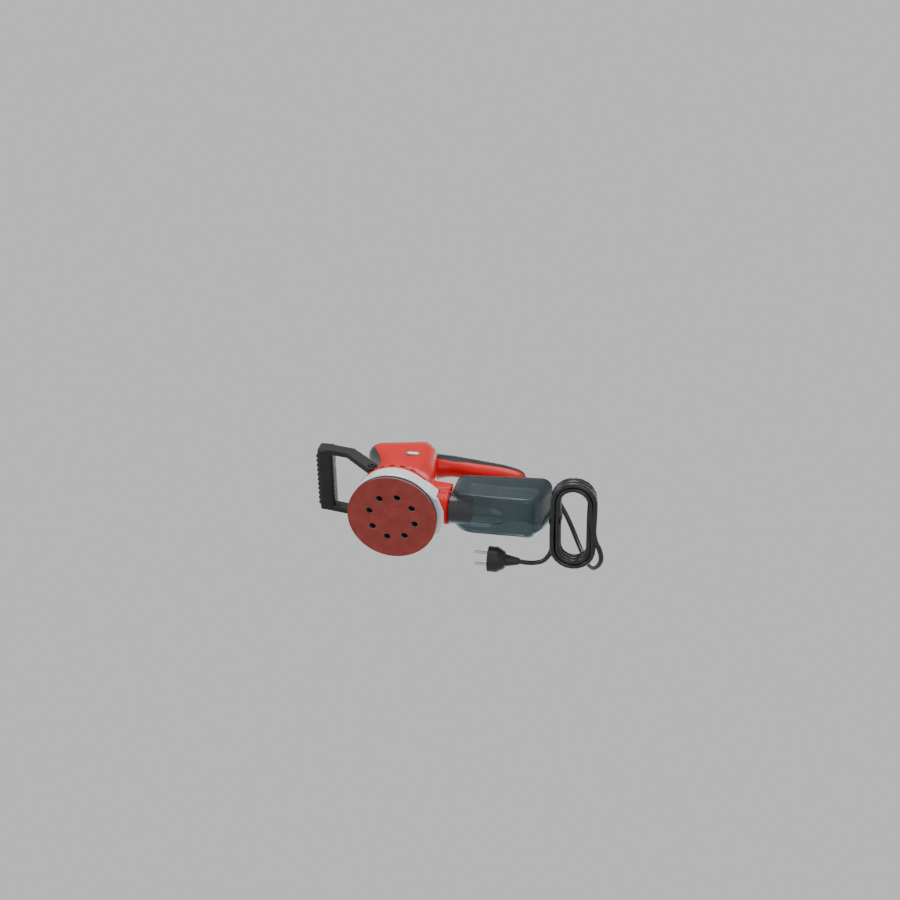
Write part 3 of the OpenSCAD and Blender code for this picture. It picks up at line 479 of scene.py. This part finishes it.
# ---- Gear housing screws and brake ring ----
# Four plated screws go up through the casting into the casing. The rubber brake ring rubs
# lightly on the backing plate, so that the free pad doesn't spin up in the air.
dress("gear_housing_screws", plated)
dress("brake_ring", soft_rubber)

# ---- Dust collar ----
# A red moulded ring with upright ribs, clamped to the dust port, and the spigot that the
# dust box slides on. It is turned about the port's axis.
COLLAR_L = 15
COLLAR_GROOVES = (3.4, 8.2)
SPIGOT_R = 19
SPIGOT_BORE_R = SPIGOT_R - 2
SPIGOT_TIP = 45
port_low, port_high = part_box("dust_collar")
collar_r = (port_high.y - port_low.y) / 2 / MM
collar_profile = [(0, SPIGOT_BORE_R), (0, collar_r - 0.8), (0.8, collar_r)]
for d in COLLAR_GROOVES:
    collar_profile += [(d, collar_r), (d + 0.3, collar_r - 0.3), (d + 0.7, collar_r - 0.6),
                       (d + 1.5, collar_r - 0.6), (d + 1.9, collar_r - 0.3),
                       (d + 2.2, collar_r)]
collar_profile += [(13, collar_r), (13.6, collar_r - 2.4), (14.2, collar_r - 2.4),
                   (COLLAR_L, collar_r - 0.6), (COLLAR_L, SPIGOT_R),
                   (SPIGOT_TIP - 1, SPIGOT_R), (SPIGOT_TIP, SPIGOT_R - 1),
                   (SPIGOT_TIP, SPIGOT_BORE_R), (0, SPIGOT_BORE_R)]
red_plastic = finish_look("red_plastic", (0.56, 0.002, 0.003), (0.62, 0.004, 0.004), 25,
                          (0.34, 0.46), 2400, 0.04)
shown("dust_collar_ribbed",
      turned("dust_collar_ribbed", collar_profile,
             (port_low.x, 0, (port_low.z + port_high.z) / 2), (1, 0, 0), 96),
      "body", red_plastic, ["dust_collar"])

# ---- Casing ----
# Two red moulded halves, 3 mm thick, screwed together from the right. The skin of the head,
# the handle and the bracket is made as one, and the grip and the cover are cut from it too.
FLANGE_Z = 37.5
FLANGE_R = 58
# Slices of the head: height, front, rear, half width, corner radius, half width in front
HEAD = [[FLANGE_Z, -58, 58, 58, 58, 58], [FLANGE_Z + 7.5, -58, 58, 58, 58, 58],
        [FLANGE_Z + 13, -53, 53, 53, 52, 53], [FLANGE_Z + 21, -49, 50, 49, 46, 49],
        [68, -44, 48, 42, 38, 42], [78, -41, 46, 39.5, 32, 39], [95, -41, 44, 38.5, 26, 37],
        [115, -50, 41, 38.5, 23, 35], [135, -62, 38, 38.5, 20, 33], [145, -64, 36, 38, 18, 32],
        [154, -60, 33, 36, 18, 29], [162, -42, 29, 31, 16, 25], [166, -16, 21, 21, 12, 18]]
# Slices of the handle: distance, height, half width, half height
HANDLE = [[8, 145, 24, 19], [30, 148, 20, 18.5], [45, 151.5, 16.5, 17.5], [60, 153.5, 14.5, 17],
          [80, 150, 14.5, 17], [100, 146.5, 14.5, 17], [118, 142.5, 15, 16.5],
          [135, 139, 15, 16], [150, 135.5, 14, 15], [160, 133, 12, 13], [166, 131.5, 8.5, 9]]
# Lower edge of the grip and rear edge of the front cover, as (distance, height)
GRIP_EDGE = [(-80, 146), (-44, 149), (-24, 154), (-2, 158), (12, 156.5), (24, 149), (36, 143),
             (50, 145.5), (80, 144.5), (118, 139), (150, 133.5), (220, 122)]
COVER_EDGE = [(-90, 76), (-32, 76), (-38, 96), (-38, 132), (-44, 142), (-44, 170)]
COVER_HALF = 30
PIVOT = (-38, 56)
CASE_SCREWS = [(-35, 90), (35, 96), (-52, 144.5), (27, 128), (72, 143), (112, 133.5),
               (146, 126.5)]
SEAT = 1.6
WALL = 2.8
BRACKET_Z = 68
VENTS_A_SIDE = 7
VENT_SIZE = (20, 7.2, 5)
PIVOT_POCKET_R = 9.8
PIVOT_Y = 37.5
ROCKER_AT = (-46.2, 0, 108)
ROCKER_TILT = -22
ROCKER_HOLE = Vector((34, 19, 27))
DIAL_AT = (-36, 154)
DIAL_SLOT_R, DIAL_SLOT_HALF = 11.5, 3.5
SCREW_HEAD_Y = 7
SCREW_HOLE_R = 3.6
SKIN_VOXEL, SKIN_ROUNDS = 1.3, 10
ROUND_STEPS = 4
HANDLE_POINTS = 48


def outline(circles, front, rear, count):
    """Evenly spaced points round the skin of some circles (a, b, radius), mirrored in b = 0."""
    half = [Vector((front, 0))]
    for k in range(1, 240):
        way = Vector((-math.cos(math.pi * k / 240), math.sin(math.pi * k / 240)))
        a, b, r = max(circles, key=lambda c: c[0] * way.x + c[1] * way.y + c[2])
        half.append(Vector((a, b)) + r * way)
    half.append(Vector((rear, 0)))
    gaps = [(q - p).length for p, q in zip(half, half[1:])]
    points, spot, passed = [], 0, 0
    for k in range(count // 2 + 1):
        want = sum(gaps) * k / (count // 2)
        while spot < len(gaps) - 1 and passed + gaps[spot] < want:
            passed += gaps[spot]
            spot += 1
        share = (want - passed) / gaps[spot] if gaps[spot] > 0 else 0
        points.append(half[spot].lerp(half[spot + 1], min(share, 1)))
    return points + [Vector((p.x, -p.y)) for p in points[-2:0:-1]]


def level_ring(s, inset=0, count=96):
    """The ring of points round one slice of the head or of the dust box."""
    z, front, rear, half, r, front_half = s
    front, rear, half, r, front_half = (front + inset, rear - inset, half - inset,
                                        max(r - inset, 1), front_half - inset)
    circles = [(rear - r, half - r, r), (front + r, max(front_half - r, 0), r)]
    return [Vector((p.x, p.y, z)) for p in outline(circles, front, rear, count)]


def eased(rings, steps):
    """More rings between the given ones, on smooth lines through their matching points."""
    lines = [flowing(column, steps) for column in zip(*rings)]
    return [list(ring) for ring in zip(*lines)]


def lofted(name, rings):
    """A closed skin through rings of points in mm, each with the same number of points."""
    bm = bmesh.new()
    loops = []
    for ring in rings:
        spots = bmesh.ops.create_circle(bm, cap_ends=False, radius=1,
                                        segments=len(ring))["verts"]
        for spot, at in zip(spots, ring):
            spot.co = Vector(at) * MM
        loops.append(list({edge for spot in spots for edge in spot.link_edges}))
    for a, b in zip(loops, loops[1:]):
        bmesh.ops.bridge_loops(bm, edges=a + b)
    bmesh.ops.holes_fill(bm, edges=bm.edges, sides=0)
    bmesh.ops.recalc_face_normals(bm, faces=bm.faces)
    return mesh_of(name, bm)


def merged(name, meshes):
    """Several meshes put together in one."""
    bm = bmesh.new()
    for mesh in meshes:
        bm.from_mesh(mesh)
    return mesh_of(name, bm)


def carved(mesh, cutter, operation="DIFFERENCE"):
    """The mesh with the cutter taken away, or only what both hold."""
    obj, tool = helper(mesh), helper(cutter)
    cut = obj.modifiers.new("cut", "BOOLEAN")
    cut.operation = operation
    cut.solver = "MANIFOLD"
    cut.object = tool
    mesh = settled(obj)
    bpy.data.objects.remove(tool)
    return mesh


def block(bm, low, high, turn=0, about=(0, 0, 0)):
    """A box between two corners in mm, turned about Y at a point, with its edges bevelled."""
    low, high, about = Vector(low) * MM, Vector(high) * MM, Vector(about) * MM
    made = bmesh.ops.create_cube(bm, size=1)["verts"]
    size = high - low
    bmesh.ops.scale(bm, vec=size, verts=made)
    bmesh.ops.translate(bm, vec=(low + high) / 2, verts=made)
    edges = list({edge for spot in made for edge in spot.link_edges})
    bevelled = bmesh.ops.bevel(bm, geom=edges, offset=min(size) * 0.22, affect="EDGES",
                               segments=3, profile=0.5, material=-1)["verts"]
    bmesh.ops.rotate(bm, cent=about, matrix=Matrix.Rotation(math.radians(turn), 3, "Y"),
                     verts=bevelled)


def rod(bm, start, end, r, steps=40):
    """A round rod between two points in mm."""
    start, end = Vector(start) * MM, Vector(end) * MM
    turn = (end - start).to_track_quat("Z", "Y").to_matrix().to_4x4()
    bmesh.ops.create_cone(bm, cap_ends=True, segments=steps, radius1=r * MM, radius2=r * MM,
                          depth=(end - start).length,
                          matrix=Matrix.Translation((start + end) / 2) @ turn)


head_rings = [level_ring(s) for s in HEAD]
head = lofted("head", head_rings[:2] + eased(head_rings[2:], ROUND_STEPS))
turns = [2 * math.pi * k / HANDLE_POINTS for k in range(HANDLE_POINTS)]
handle_rings = [[Vector((x, w * math.cos(a), z + h * math.sin(a))) for a in turns]
                for x, z, w, h in HANDLE]
handle = lofted("handle", eased(handle_rings, ROUND_STEPS))
bracket = lofted("bracket", [[Vector((x, p.x, BRACKET_Z + p.y * (1 if p.y > 0 else 1.5)))
                              for p in outline([(-16, top - BRACKET_Z, 4),
                                                (16, top - BRACKET_Z, 4)], -20, 20, 64)]
                             for x, top in ((34, 76), (44, 75.5), (72, 71.3), (74, 71))])
body_skin = rounded(merged("body_skin", [head, handle, bracket]), SKIN_VOXEL,
                    SKIN_ROUNDS)


def scored(bm, edge):
    """Cuts the mesh's faces along a line of points (x, z), without taking anything away."""
    for (x0, z0), (x1, z1) in zip(edge, edge[1:]):
        along = Vector((x1 - x0, 0, z1 - z0)).normalized()
        near = [f for f in bm.faces if min(x0, x1) - 3 < f.calc_center_median().x / MM
                < max(x0, x1) + 3 and min(z0, z1) - 3 < f.calc_center_median().z / MM
                < max(z0, z1) + 3]
        parts = list({v for f in near for v in f.verts} | {e for f in near for e in f.edges}
                     | set(near))
        bmesh.ops.bisect_plane(bm, geom=parts, plane_co=(x0 * MM, 0, z0 * MM),
                               plane_no=(-along.z, 0, along.x), dist=0.00002)


def height_on(edge, x):
    """The height of a line of points (x, z) at one x."""
    for (x0, z0), (x1, z1) in zip(edge, edge[1:]):
        if x0 <= x <= x1:
            return z0 + (z1 - z0) * (x - x0) / (x1 - x0)
    return edge[-1][1]


def in_grip(at):
    """Whether a place on the skin is the soft grip's."""
    return at.z / MM > height_on(GRIP_EDGE, at.x / MM)


def in_cover(at):
    """Whether a place on the skin is the front cover's."""
    x, y, z = at / MM
    if in_grip(at) or z < COVER_EDGE[1][1] or abs(y) > COVER_HALF:
        return False
    back = COVER_EDGE[-1][0]
    for (x0, z0), (x1, z1) in zip(COVER_EDGE[1:], COVER_EDGE[2:]):
        if z0 <= z <= z1:
            back = x0 + (x1 - x0) * (z - z0) / (z1 - z0)
            break
    return x < back


def region(mesh, keep):
    """A copy of the faces whose middle passes the test."""
    bm = bmesh.new()
    bm.from_mesh(mesh)
    bmesh.ops.delete(bm, geom=[f for f in bm.faces if not keep(f.calc_center_median())],
                     context="FACES")
    return bm


def plated_over(name, bm, inward, outward):
    """A closed sheet made from a patch of skin, thickened both ways in mm."""
    bmesh.ops.recalc_face_normals(bm, faces=bm.faces)
    middle = sum((f.calc_center_median() for f in bm.faces), Vector()) / len(bm.faces)
    tally = sum(f.normal.dot(f.calc_center_median() - middle) for f in bm.faces)
    if tally < 0:
        bmesh.ops.reverse_faces(bm, faces=bm.faces)
    obj = helper(mesh_of(name, bm))
    solid = obj.modifiers.new("solid", "SOLIDIFY")
    solid.thickness = (inward + outward) * MM
    solid.offset = (outward - inward) / (inward + outward)
    return settled(obj)


bm = bmesh.new()
bm.from_mesh(body_skin)
scored(bm, GRIP_EDGE)
scored(bm, COVER_EDGE)
for side in (-COVER_HALF, COVER_HALF):
    front = [f for f in bm.faces if f.calc_center_median().x < -0.03]
    parts = list({v for f in front for v in f.verts} | {e for f in front for e in f.edges}
                 | set(front))
    bmesh.ops.bisect_plane(bm, geom=parts, plane_co=(0, side * MM, 0), plane_no=(0, 1, 0),
                           dist=0.00002)
bmesh.ops.bisect_plane(bm, geom=bm.verts[:] + bm.edges[:] + bm.faces[:], plane_co=(0, 0, 0),
                       plane_no=(0, 1, 0), dist=0.00002)
bmesh.ops.dissolve_degenerate(bm, dist=0.00001, edges=bm.edges)
skin = mesh_of("skin", bm)

# The casing is the whole skin, pushed in where the grip and the cover lie on it.
bm = bmesh.new()
bm.from_mesh(skin)
bm.normal_update()
marks = {f: in_grip(f.calc_center_median()) or in_cover(f.calc_center_median())
         for f in bm.faces}
pushed = [(v, v.normal.copy()) for v in bm.verts if all(marks[f] for f in v.link_faces)]
for v, way in pushed:
    v.co -= way * SEAT * MM
casing = mesh_of("casing", bm)
inner = rounded(casing.copy(), 1.6, 0)
obj = helper(inner)
shrink = obj.modifiers.new("shrink", "DISPLACE")
shrink.strength = -WALL * MM
shrink.mid_level = 0
inner = settled(obj)
casing = carved(casing, inner)

# Vents above the flange, pockets at the handle's pivots, and openings for the rocker, the
# dial, the screws and the badge
cuts = bmesh.new()
vent_low = (FLANGE_R + 2 - VENT_SIZE[0], -VENT_SIZE[1] / 2, FLANGE_Z + 4)
vent_high = (FLANGE_R + 2, VENT_SIZE[1] / 2, FLANGE_Z + 4 + VENT_SIZE[2])
for i in range(VENTS_A_SIDE):
    for side in (1, -1):
        a = math.radians(side * (66 + 15 * i))
        made_before = set(cuts.verts)
        block(cuts, vent_low, vent_high)
        bmesh.ops.rotate(cuts, cent=(0, 0, 0), matrix=Matrix.Rotation(a, 3, "Z"),
                         verts=[v for v in cuts.verts if v not in made_before])
for side in (1, -1):
    rod(cuts, (PIVOT[0], side * PIVOT_Y, PIVOT[1]), (PIVOT[0], side * 2 * PIVOT_Y, PIVOT[1]),
        PIVOT_POCKET_R)
block(cuts, Vector(ROCKER_AT) - ROCKER_HOLE / 2, Vector(ROCKER_AT) + ROCKER_HOLE / 2,
      turn=ROCKER_TILT, about=ROCKER_AT)
rod(cuts, (DIAL_AT[0], -DIAL_SLOT_HALF, DIAL_AT[1]), (DIAL_AT[0], DIAL_SLOT_HALF, DIAL_AT[1]),
    DIAL_SLOT_R)
for x, z in CASE_SCREWS:
    rod(cuts, (x, SCREW_HEAD_Y, z), (x, 60, z), SCREW_HOLE_R, 24)
rod(cuts, (2.5, -45, 115), (2.5, -37.3, 115), 5.4)
all_cuts = mesh_of("cuts", cuts)
casing = carved(casing, all_cuts.copy())


def half_of(mesh, side):
    """The part of a closed mesh on one side of the middle plane."""
    bm = bmesh.new()
    bmesh.ops.create_cube(bm, size=1, matrix=Matrix.Translation((0, side * 0.5, 0)))
    return carved(mesh.copy(), mesh_of("side", bm), operation="INTERSECT")


for side, name in ((-1, "left"), (1, "right")):
    shown("casing_" + name, soft_shaded(half_of(casing, side)), "body",
          red_plastic, ["housing_" + name])

# ---- Soft grip ----
# A soft black rubber skin over the head and the handle, 1.5 mm thick. It is moulded on to
# each casing half in a shallow seat and stands a little proud of it.
grip_rubber = finish_look("soft_grip_rubber", (0.011, 0.011, 0.012), (0.017, 0.017, 0.018),
                          80, (0.42, 0.6), 1500, 0.1)
bm = bmesh.new()
guard_way = (tip - root).normalized()
rod(bm, (root - guard_way * 4.5 * MM) / MM, (root + guard_way * 12 * MM) / MM, 8.7)
guard_hole = mesh_of("guard_hole", bm)
grip = plated_over("grip", region(skin, in_grip), 1.5, 0.3)
grip = carved(carved(grip, all_cuts.copy()), guard_hole)
for side, name in ((-1, "left"), (1, "right")):
    shown("grip_" + name, soft_shaded(half_of(grip, side)), "body",
          grip_rubber, ["soft_grip_" + name])

# ---- Front cover ----
# A glossy black plastic cover that closes the front of the head round the switch rocker.
# It clips on to the casing and lies in the same kind of seat as the grip.
gloss_black = finish_look("gloss_black_plastic", (0.008, 0.008, 0.009), (0.012, 0.012, 0.013),
                          60, (0.1, 0.2), 900, 0.03, coat=0.6)
cover = plated_over("cover", region(skin, in_cover), 1.5, 0.25)
shown("switch_cover", soft_shaded(carved(cover, all_cuts)), "body",
      gloss_black, ["front_cover"])

# ---- Casing screws ----
# Seven plated cross-head screws join the halves. Their heads lie deep in the right half.
dress("housing_screws", plated)

# ---- Badge ----
# A small oval plate on the left of the motor body, white with a grey rim. It carries no
# lettering. It is glued into a recess of the same outline.
badge_z, badge_x, badge_y = 115, 7.5, -37.4
rings = []
for y, r in ((badge_y, 5.2), (badge_y - 1.2, 5.2), (badge_y - 1.5, 4.9)):
    rings.append([Vector((badge_x + p.x, y, badge_z + p.y)) for p in
                  outline([(-5, 0, r), (5, 0, r)], -5 - r, 5 + r, 64)])
bm = bmesh.new()
bm.from_mesh(lofted("badge_plate", rings))
front = min(bm.faces, key=lambda f: f.calc_center_median().y)
bmesh.ops.inset_region(bm, faces=[front], thickness=1.7 * MM, depth=0)
bmesh.ops.inset_region(bm, faces=[front], thickness=0.25 * MM, depth=-0.25 * MM)
badge_white = finish_look("badge_white", (0.8, 0.81, 0.82), (0.74, 0.75, 0.77), 300,
                          (0.2, 0.3), 1500, 0.01)
badge_grey = finish_look("badge_grey", (0.12, 0.12, 0.13), (0.17, 0.17, 0.18), 300,
                         (0.25, 0.35), 1500, 0.01)
plate_mesh = mesh_of("badge_plate", bm)
badge = shown("badge_plate", plate_mesh, "body", badge_white, ["badge"])
badge.data.materials.append(badge_grey)
centre = max((p for p in plate_mesh.polygons if p.normal.y < -0.9), key=lambda p: p.area)
for polygon in plate_mesh.polygons:
    polygon.material_index = 0 if polygon.index == centre.index else 1

# ---- Front handle ----
# A bow of black moulded plastic with a ribbed grip. Its two arms swing on the clamp screws
# beside the motor body, which hold it at the angle it is set to.
matt_black = finish_look("matt_black_plastic", (0.012, 0.012, 0.013), (0.019, 0.019, 0.02),
                         60, (0.45, 0.62), 1300, 0.1)
shown("front_bow", rounded(from_cad("front_handle"), 0.95, 3), "bow",
      matt_black, ["front_handle"])

# ---- Clamp screws ----
# Two blackened socket-head screws hold the bow's arms to the casing, and it turns on them.
black_steel = finish_look("blackened_steel", (0.03, 0.03, 0.032), (0.06, 0.06, 0.062), 400,
                          (0.3, 0.5), 2500, 0.03, metallic=1)
dress("clamp_screws", black_steel)

# ---- Switch rocker ----
# A glossy black rocker in the front cover, which switches the motor on and off. It tips on
# a pin in the switch behind it.
shown("rocker_cap", rounded(from_cad("switch_rocker"), 0.5, 4), "rocker",
      gloss_black, ["switch_rocker"])

# ---- Speed dial ----
# A knurled black dial in the top of the head sets the speed. Only its upper edge stands out
# of its slot, and it turns the potentiometer beside it.
dress("speed_dial", matt_black)

# ---- Dust box ----
# A see-through smoke-coloured box with a neck that slides on the spigot. Its neck ends in
# a cone below the floor of the box. A black cover closes its mouth and holds the filter.
BOX_X, BOX_TOP, BOX_WALL = 77.5, 74, 2
PORT_Z, NECK_R, NECK_IN, SPIGOT_END = 40, 21.5, 19.3, 105
# Slices of the box, in the head's terms
BOX = [[24.5, 155.5, 186.5, 27, 6, 27], [27, 107.5, 192.5, 29.5, 7, 30],
       [30, 92.5, 195.5, 30.5, 8, 30.5], [38, 82.5, 200.5, 32, 9, 31],
       [50, 77.5, 205.5, 33.5, 11, 31], [74, 77.5, 212.5, 37, 15, 31.5]]
CONE_X = BOX_X + 58


def box_skin(name, inset, top):
    """The skin of the box, made smaller all round by an inset and carried up to a height."""
    rings = [level_ring([s[0] + (inset if s[0] < BOX_TOP else 0)] + s[1:], inset) for s in BOX]
    rings = eased(rings, 5)
    return lofted(name, rings + [[Vector((p.x, p.y, top)) for p in rings[-1]]])


def neck(r, tip_r, from_x, to_x):
    """The round neck and its cone, as a closed form along the port's axis."""
    return turned("neck", [(from_x, 0), (from_x, r), (CONE_X, r),
                           (CONE_X + 6, r - (r - tip_r) * 0.17), (to_x - 2, tip_r),
                           (to_x, tip_r - 2), (to_x, 0)], (0, 0, PORT_Z * MM), (1, 0, 0), 96)


outer = rounded(merged("box_outer", [box_skin("box_outer", 0, BOX_TOP),
                                     neck(NECK_R, NECK_R - 7, 75.4, CONE_X + 28)]), 1.2, 4)
room = box_skin("box_room", BOX_WALL, BOX_TOP + 20)
sleeve_bm = bmesh.new()
rod(sleeve_bm, (60, 0, PORT_Z), (SPIGOT_END - 2, 0, PORT_Z), NECK_R, 96)
room = carved(room, mesh_of("sleeve", sleeve_bm))
box = carved(outer, room)
bore_bm = bmesh.new()
rod(bore_bm, (70, 0, PORT_Z), (SPIGOT_END + 2, 0, PORT_Z), NECK_IN, 96)
box = carved(box, mesh_of("bore", bore_bm))
box = carved(box, neck(NECK_IN - 1, NECK_R - 9.5, SPIGOT_END + 1, CONE_X + 26))
smoke = finish_look("smoke_plastic", (0.2, 0.27, 0.29), (0.24, 0.31, 0.33), 20,
                    (0.08, 0.16), 700, 0.02, clear=0.88, ior=1.3)
shown("dust_box_shell", soft_shaded(box, 40), "collector", smoke, ["dust_box"])

# ---- Dust box cover ----
# A flat black lid with a rounded edge, moulded in plastic and clipped on to the box's mouth.
shown("dust_box_lid", rounded(from_cad("dust_box_cover"), 0.9, 4), "collector",
      hard_black, ["dust_box_cover"])

# ---- Dust filter ----
# A frame with pleats of white paper under the cover. It shows through the smoky wall.
paper = finish_look("filter_paper", (0.72, 0.7, 0.64), (0.6, 0.58, 0.52), 90,
                    (0.8, 0.95), 1200, 0.15)
dress("dust_filter", paper)

# ---- Motor shaft, armature and stator ----
# A steel shaft carries the armature, a stack of iron sheets wound with enamelled copper.
# It turns inside a second stack, the stator, which holds the two field coils.
steel = finish_look("bright_steel", (0.5, 0.5, 0.51), (0.62, 0.62, 0.63), 300,
                    (0.18, 0.34), 2800, 0.02, metallic=1)
iron = finish_look("laminated_iron", (0.2, 0.2, 0.21), (0.27, 0.27, 0.28), 350,
                   (0.4, 0.6), 2500, 0.06, metallic=1)
copper = finish_look("enamelled_copper", (0.42, 0.13, 0.05), (0.52, 0.18, 0.07), 900,
                     (0.25, 0.4), 1800, 0.25, metallic=0.8, coat=0.3)
dress("motor_shaft", steel)
for node in ("stator_core", "armature_core"):
    dress(node, iron)
for node in ("field_coils", "armature_windings"):
    dress(node, copper)

# ---- Commutator and carbon brushes ----
# Springs press two carbon blocks, in brass guides, on the bars of the commutator, which
# takes the current to the armature.
brass = finish_look("brass", (0.6, 0.42, 0.14), (0.68, 0.5, 0.2), 300, (0.25, 0.4), 2600,
                    0.02, metallic=1)
carbon = finish_look("carbon", (0.02, 0.02, 0.02), (0.035, 0.035, 0.035), 500, (0.6, 0.8),
                     2600, 0.08)
for node in ("commutator", "brush_holders"):
    dress(node, brass)
dress("carbon_brushes", carbon)
dress("brush_springs", steel)

# ---- Ball bearings ----
# Two bearings hold the shaft, the upper one in a rubber sleeve, and a third holds the pad's
# spindle in the eccentric hub. Each has two steel races and eight balls.
for place in ("upper", "lower", "pad"):
    for piece in ("outer", "balls", "inner"):
        dress(place + "_bearing_" + piece, steel)
dress("bearing_sleeve", soft_rubber)

# ---- Fans and eccentric hub ----
# A black fan on the shaft cools the motor. Below the bearing a pale one blows dust to the
# port, and the steel hub with its balance weight carries the pad off centre.
pale = finish_look("pale_plastic", (0.62, 0.6, 0.54), (0.68, 0.66, 0.6), 80, (0.35, 0.5),
                   1800, 0.05)
dress("cooling_fan", hard_black)
dress("dust_fan", pale)
dress("eccentric_hub", steel)

# ---- Switch, speed control and cord clamp ----
# The switch stands behind the rocker. The green speed board, its potentiometer and its
# capacitor lie in the handle, with the terminals and the clamp that holds the lead.
green = finish_look("board_green", (0.02, 0.14, 0.05), (0.03, 0.18, 0.07), 200, (0.3, 0.45),
                    1500, 0.03)
for node in ("dial_potentiometer", "speed_board", "capacitor"):
    dress(node, green)
for node in ("switch_unit", "cord_clamp"):
    dress(node, hard_black)
dress("terminal_block", pale)
dress("cord_clamp_screws", steel)
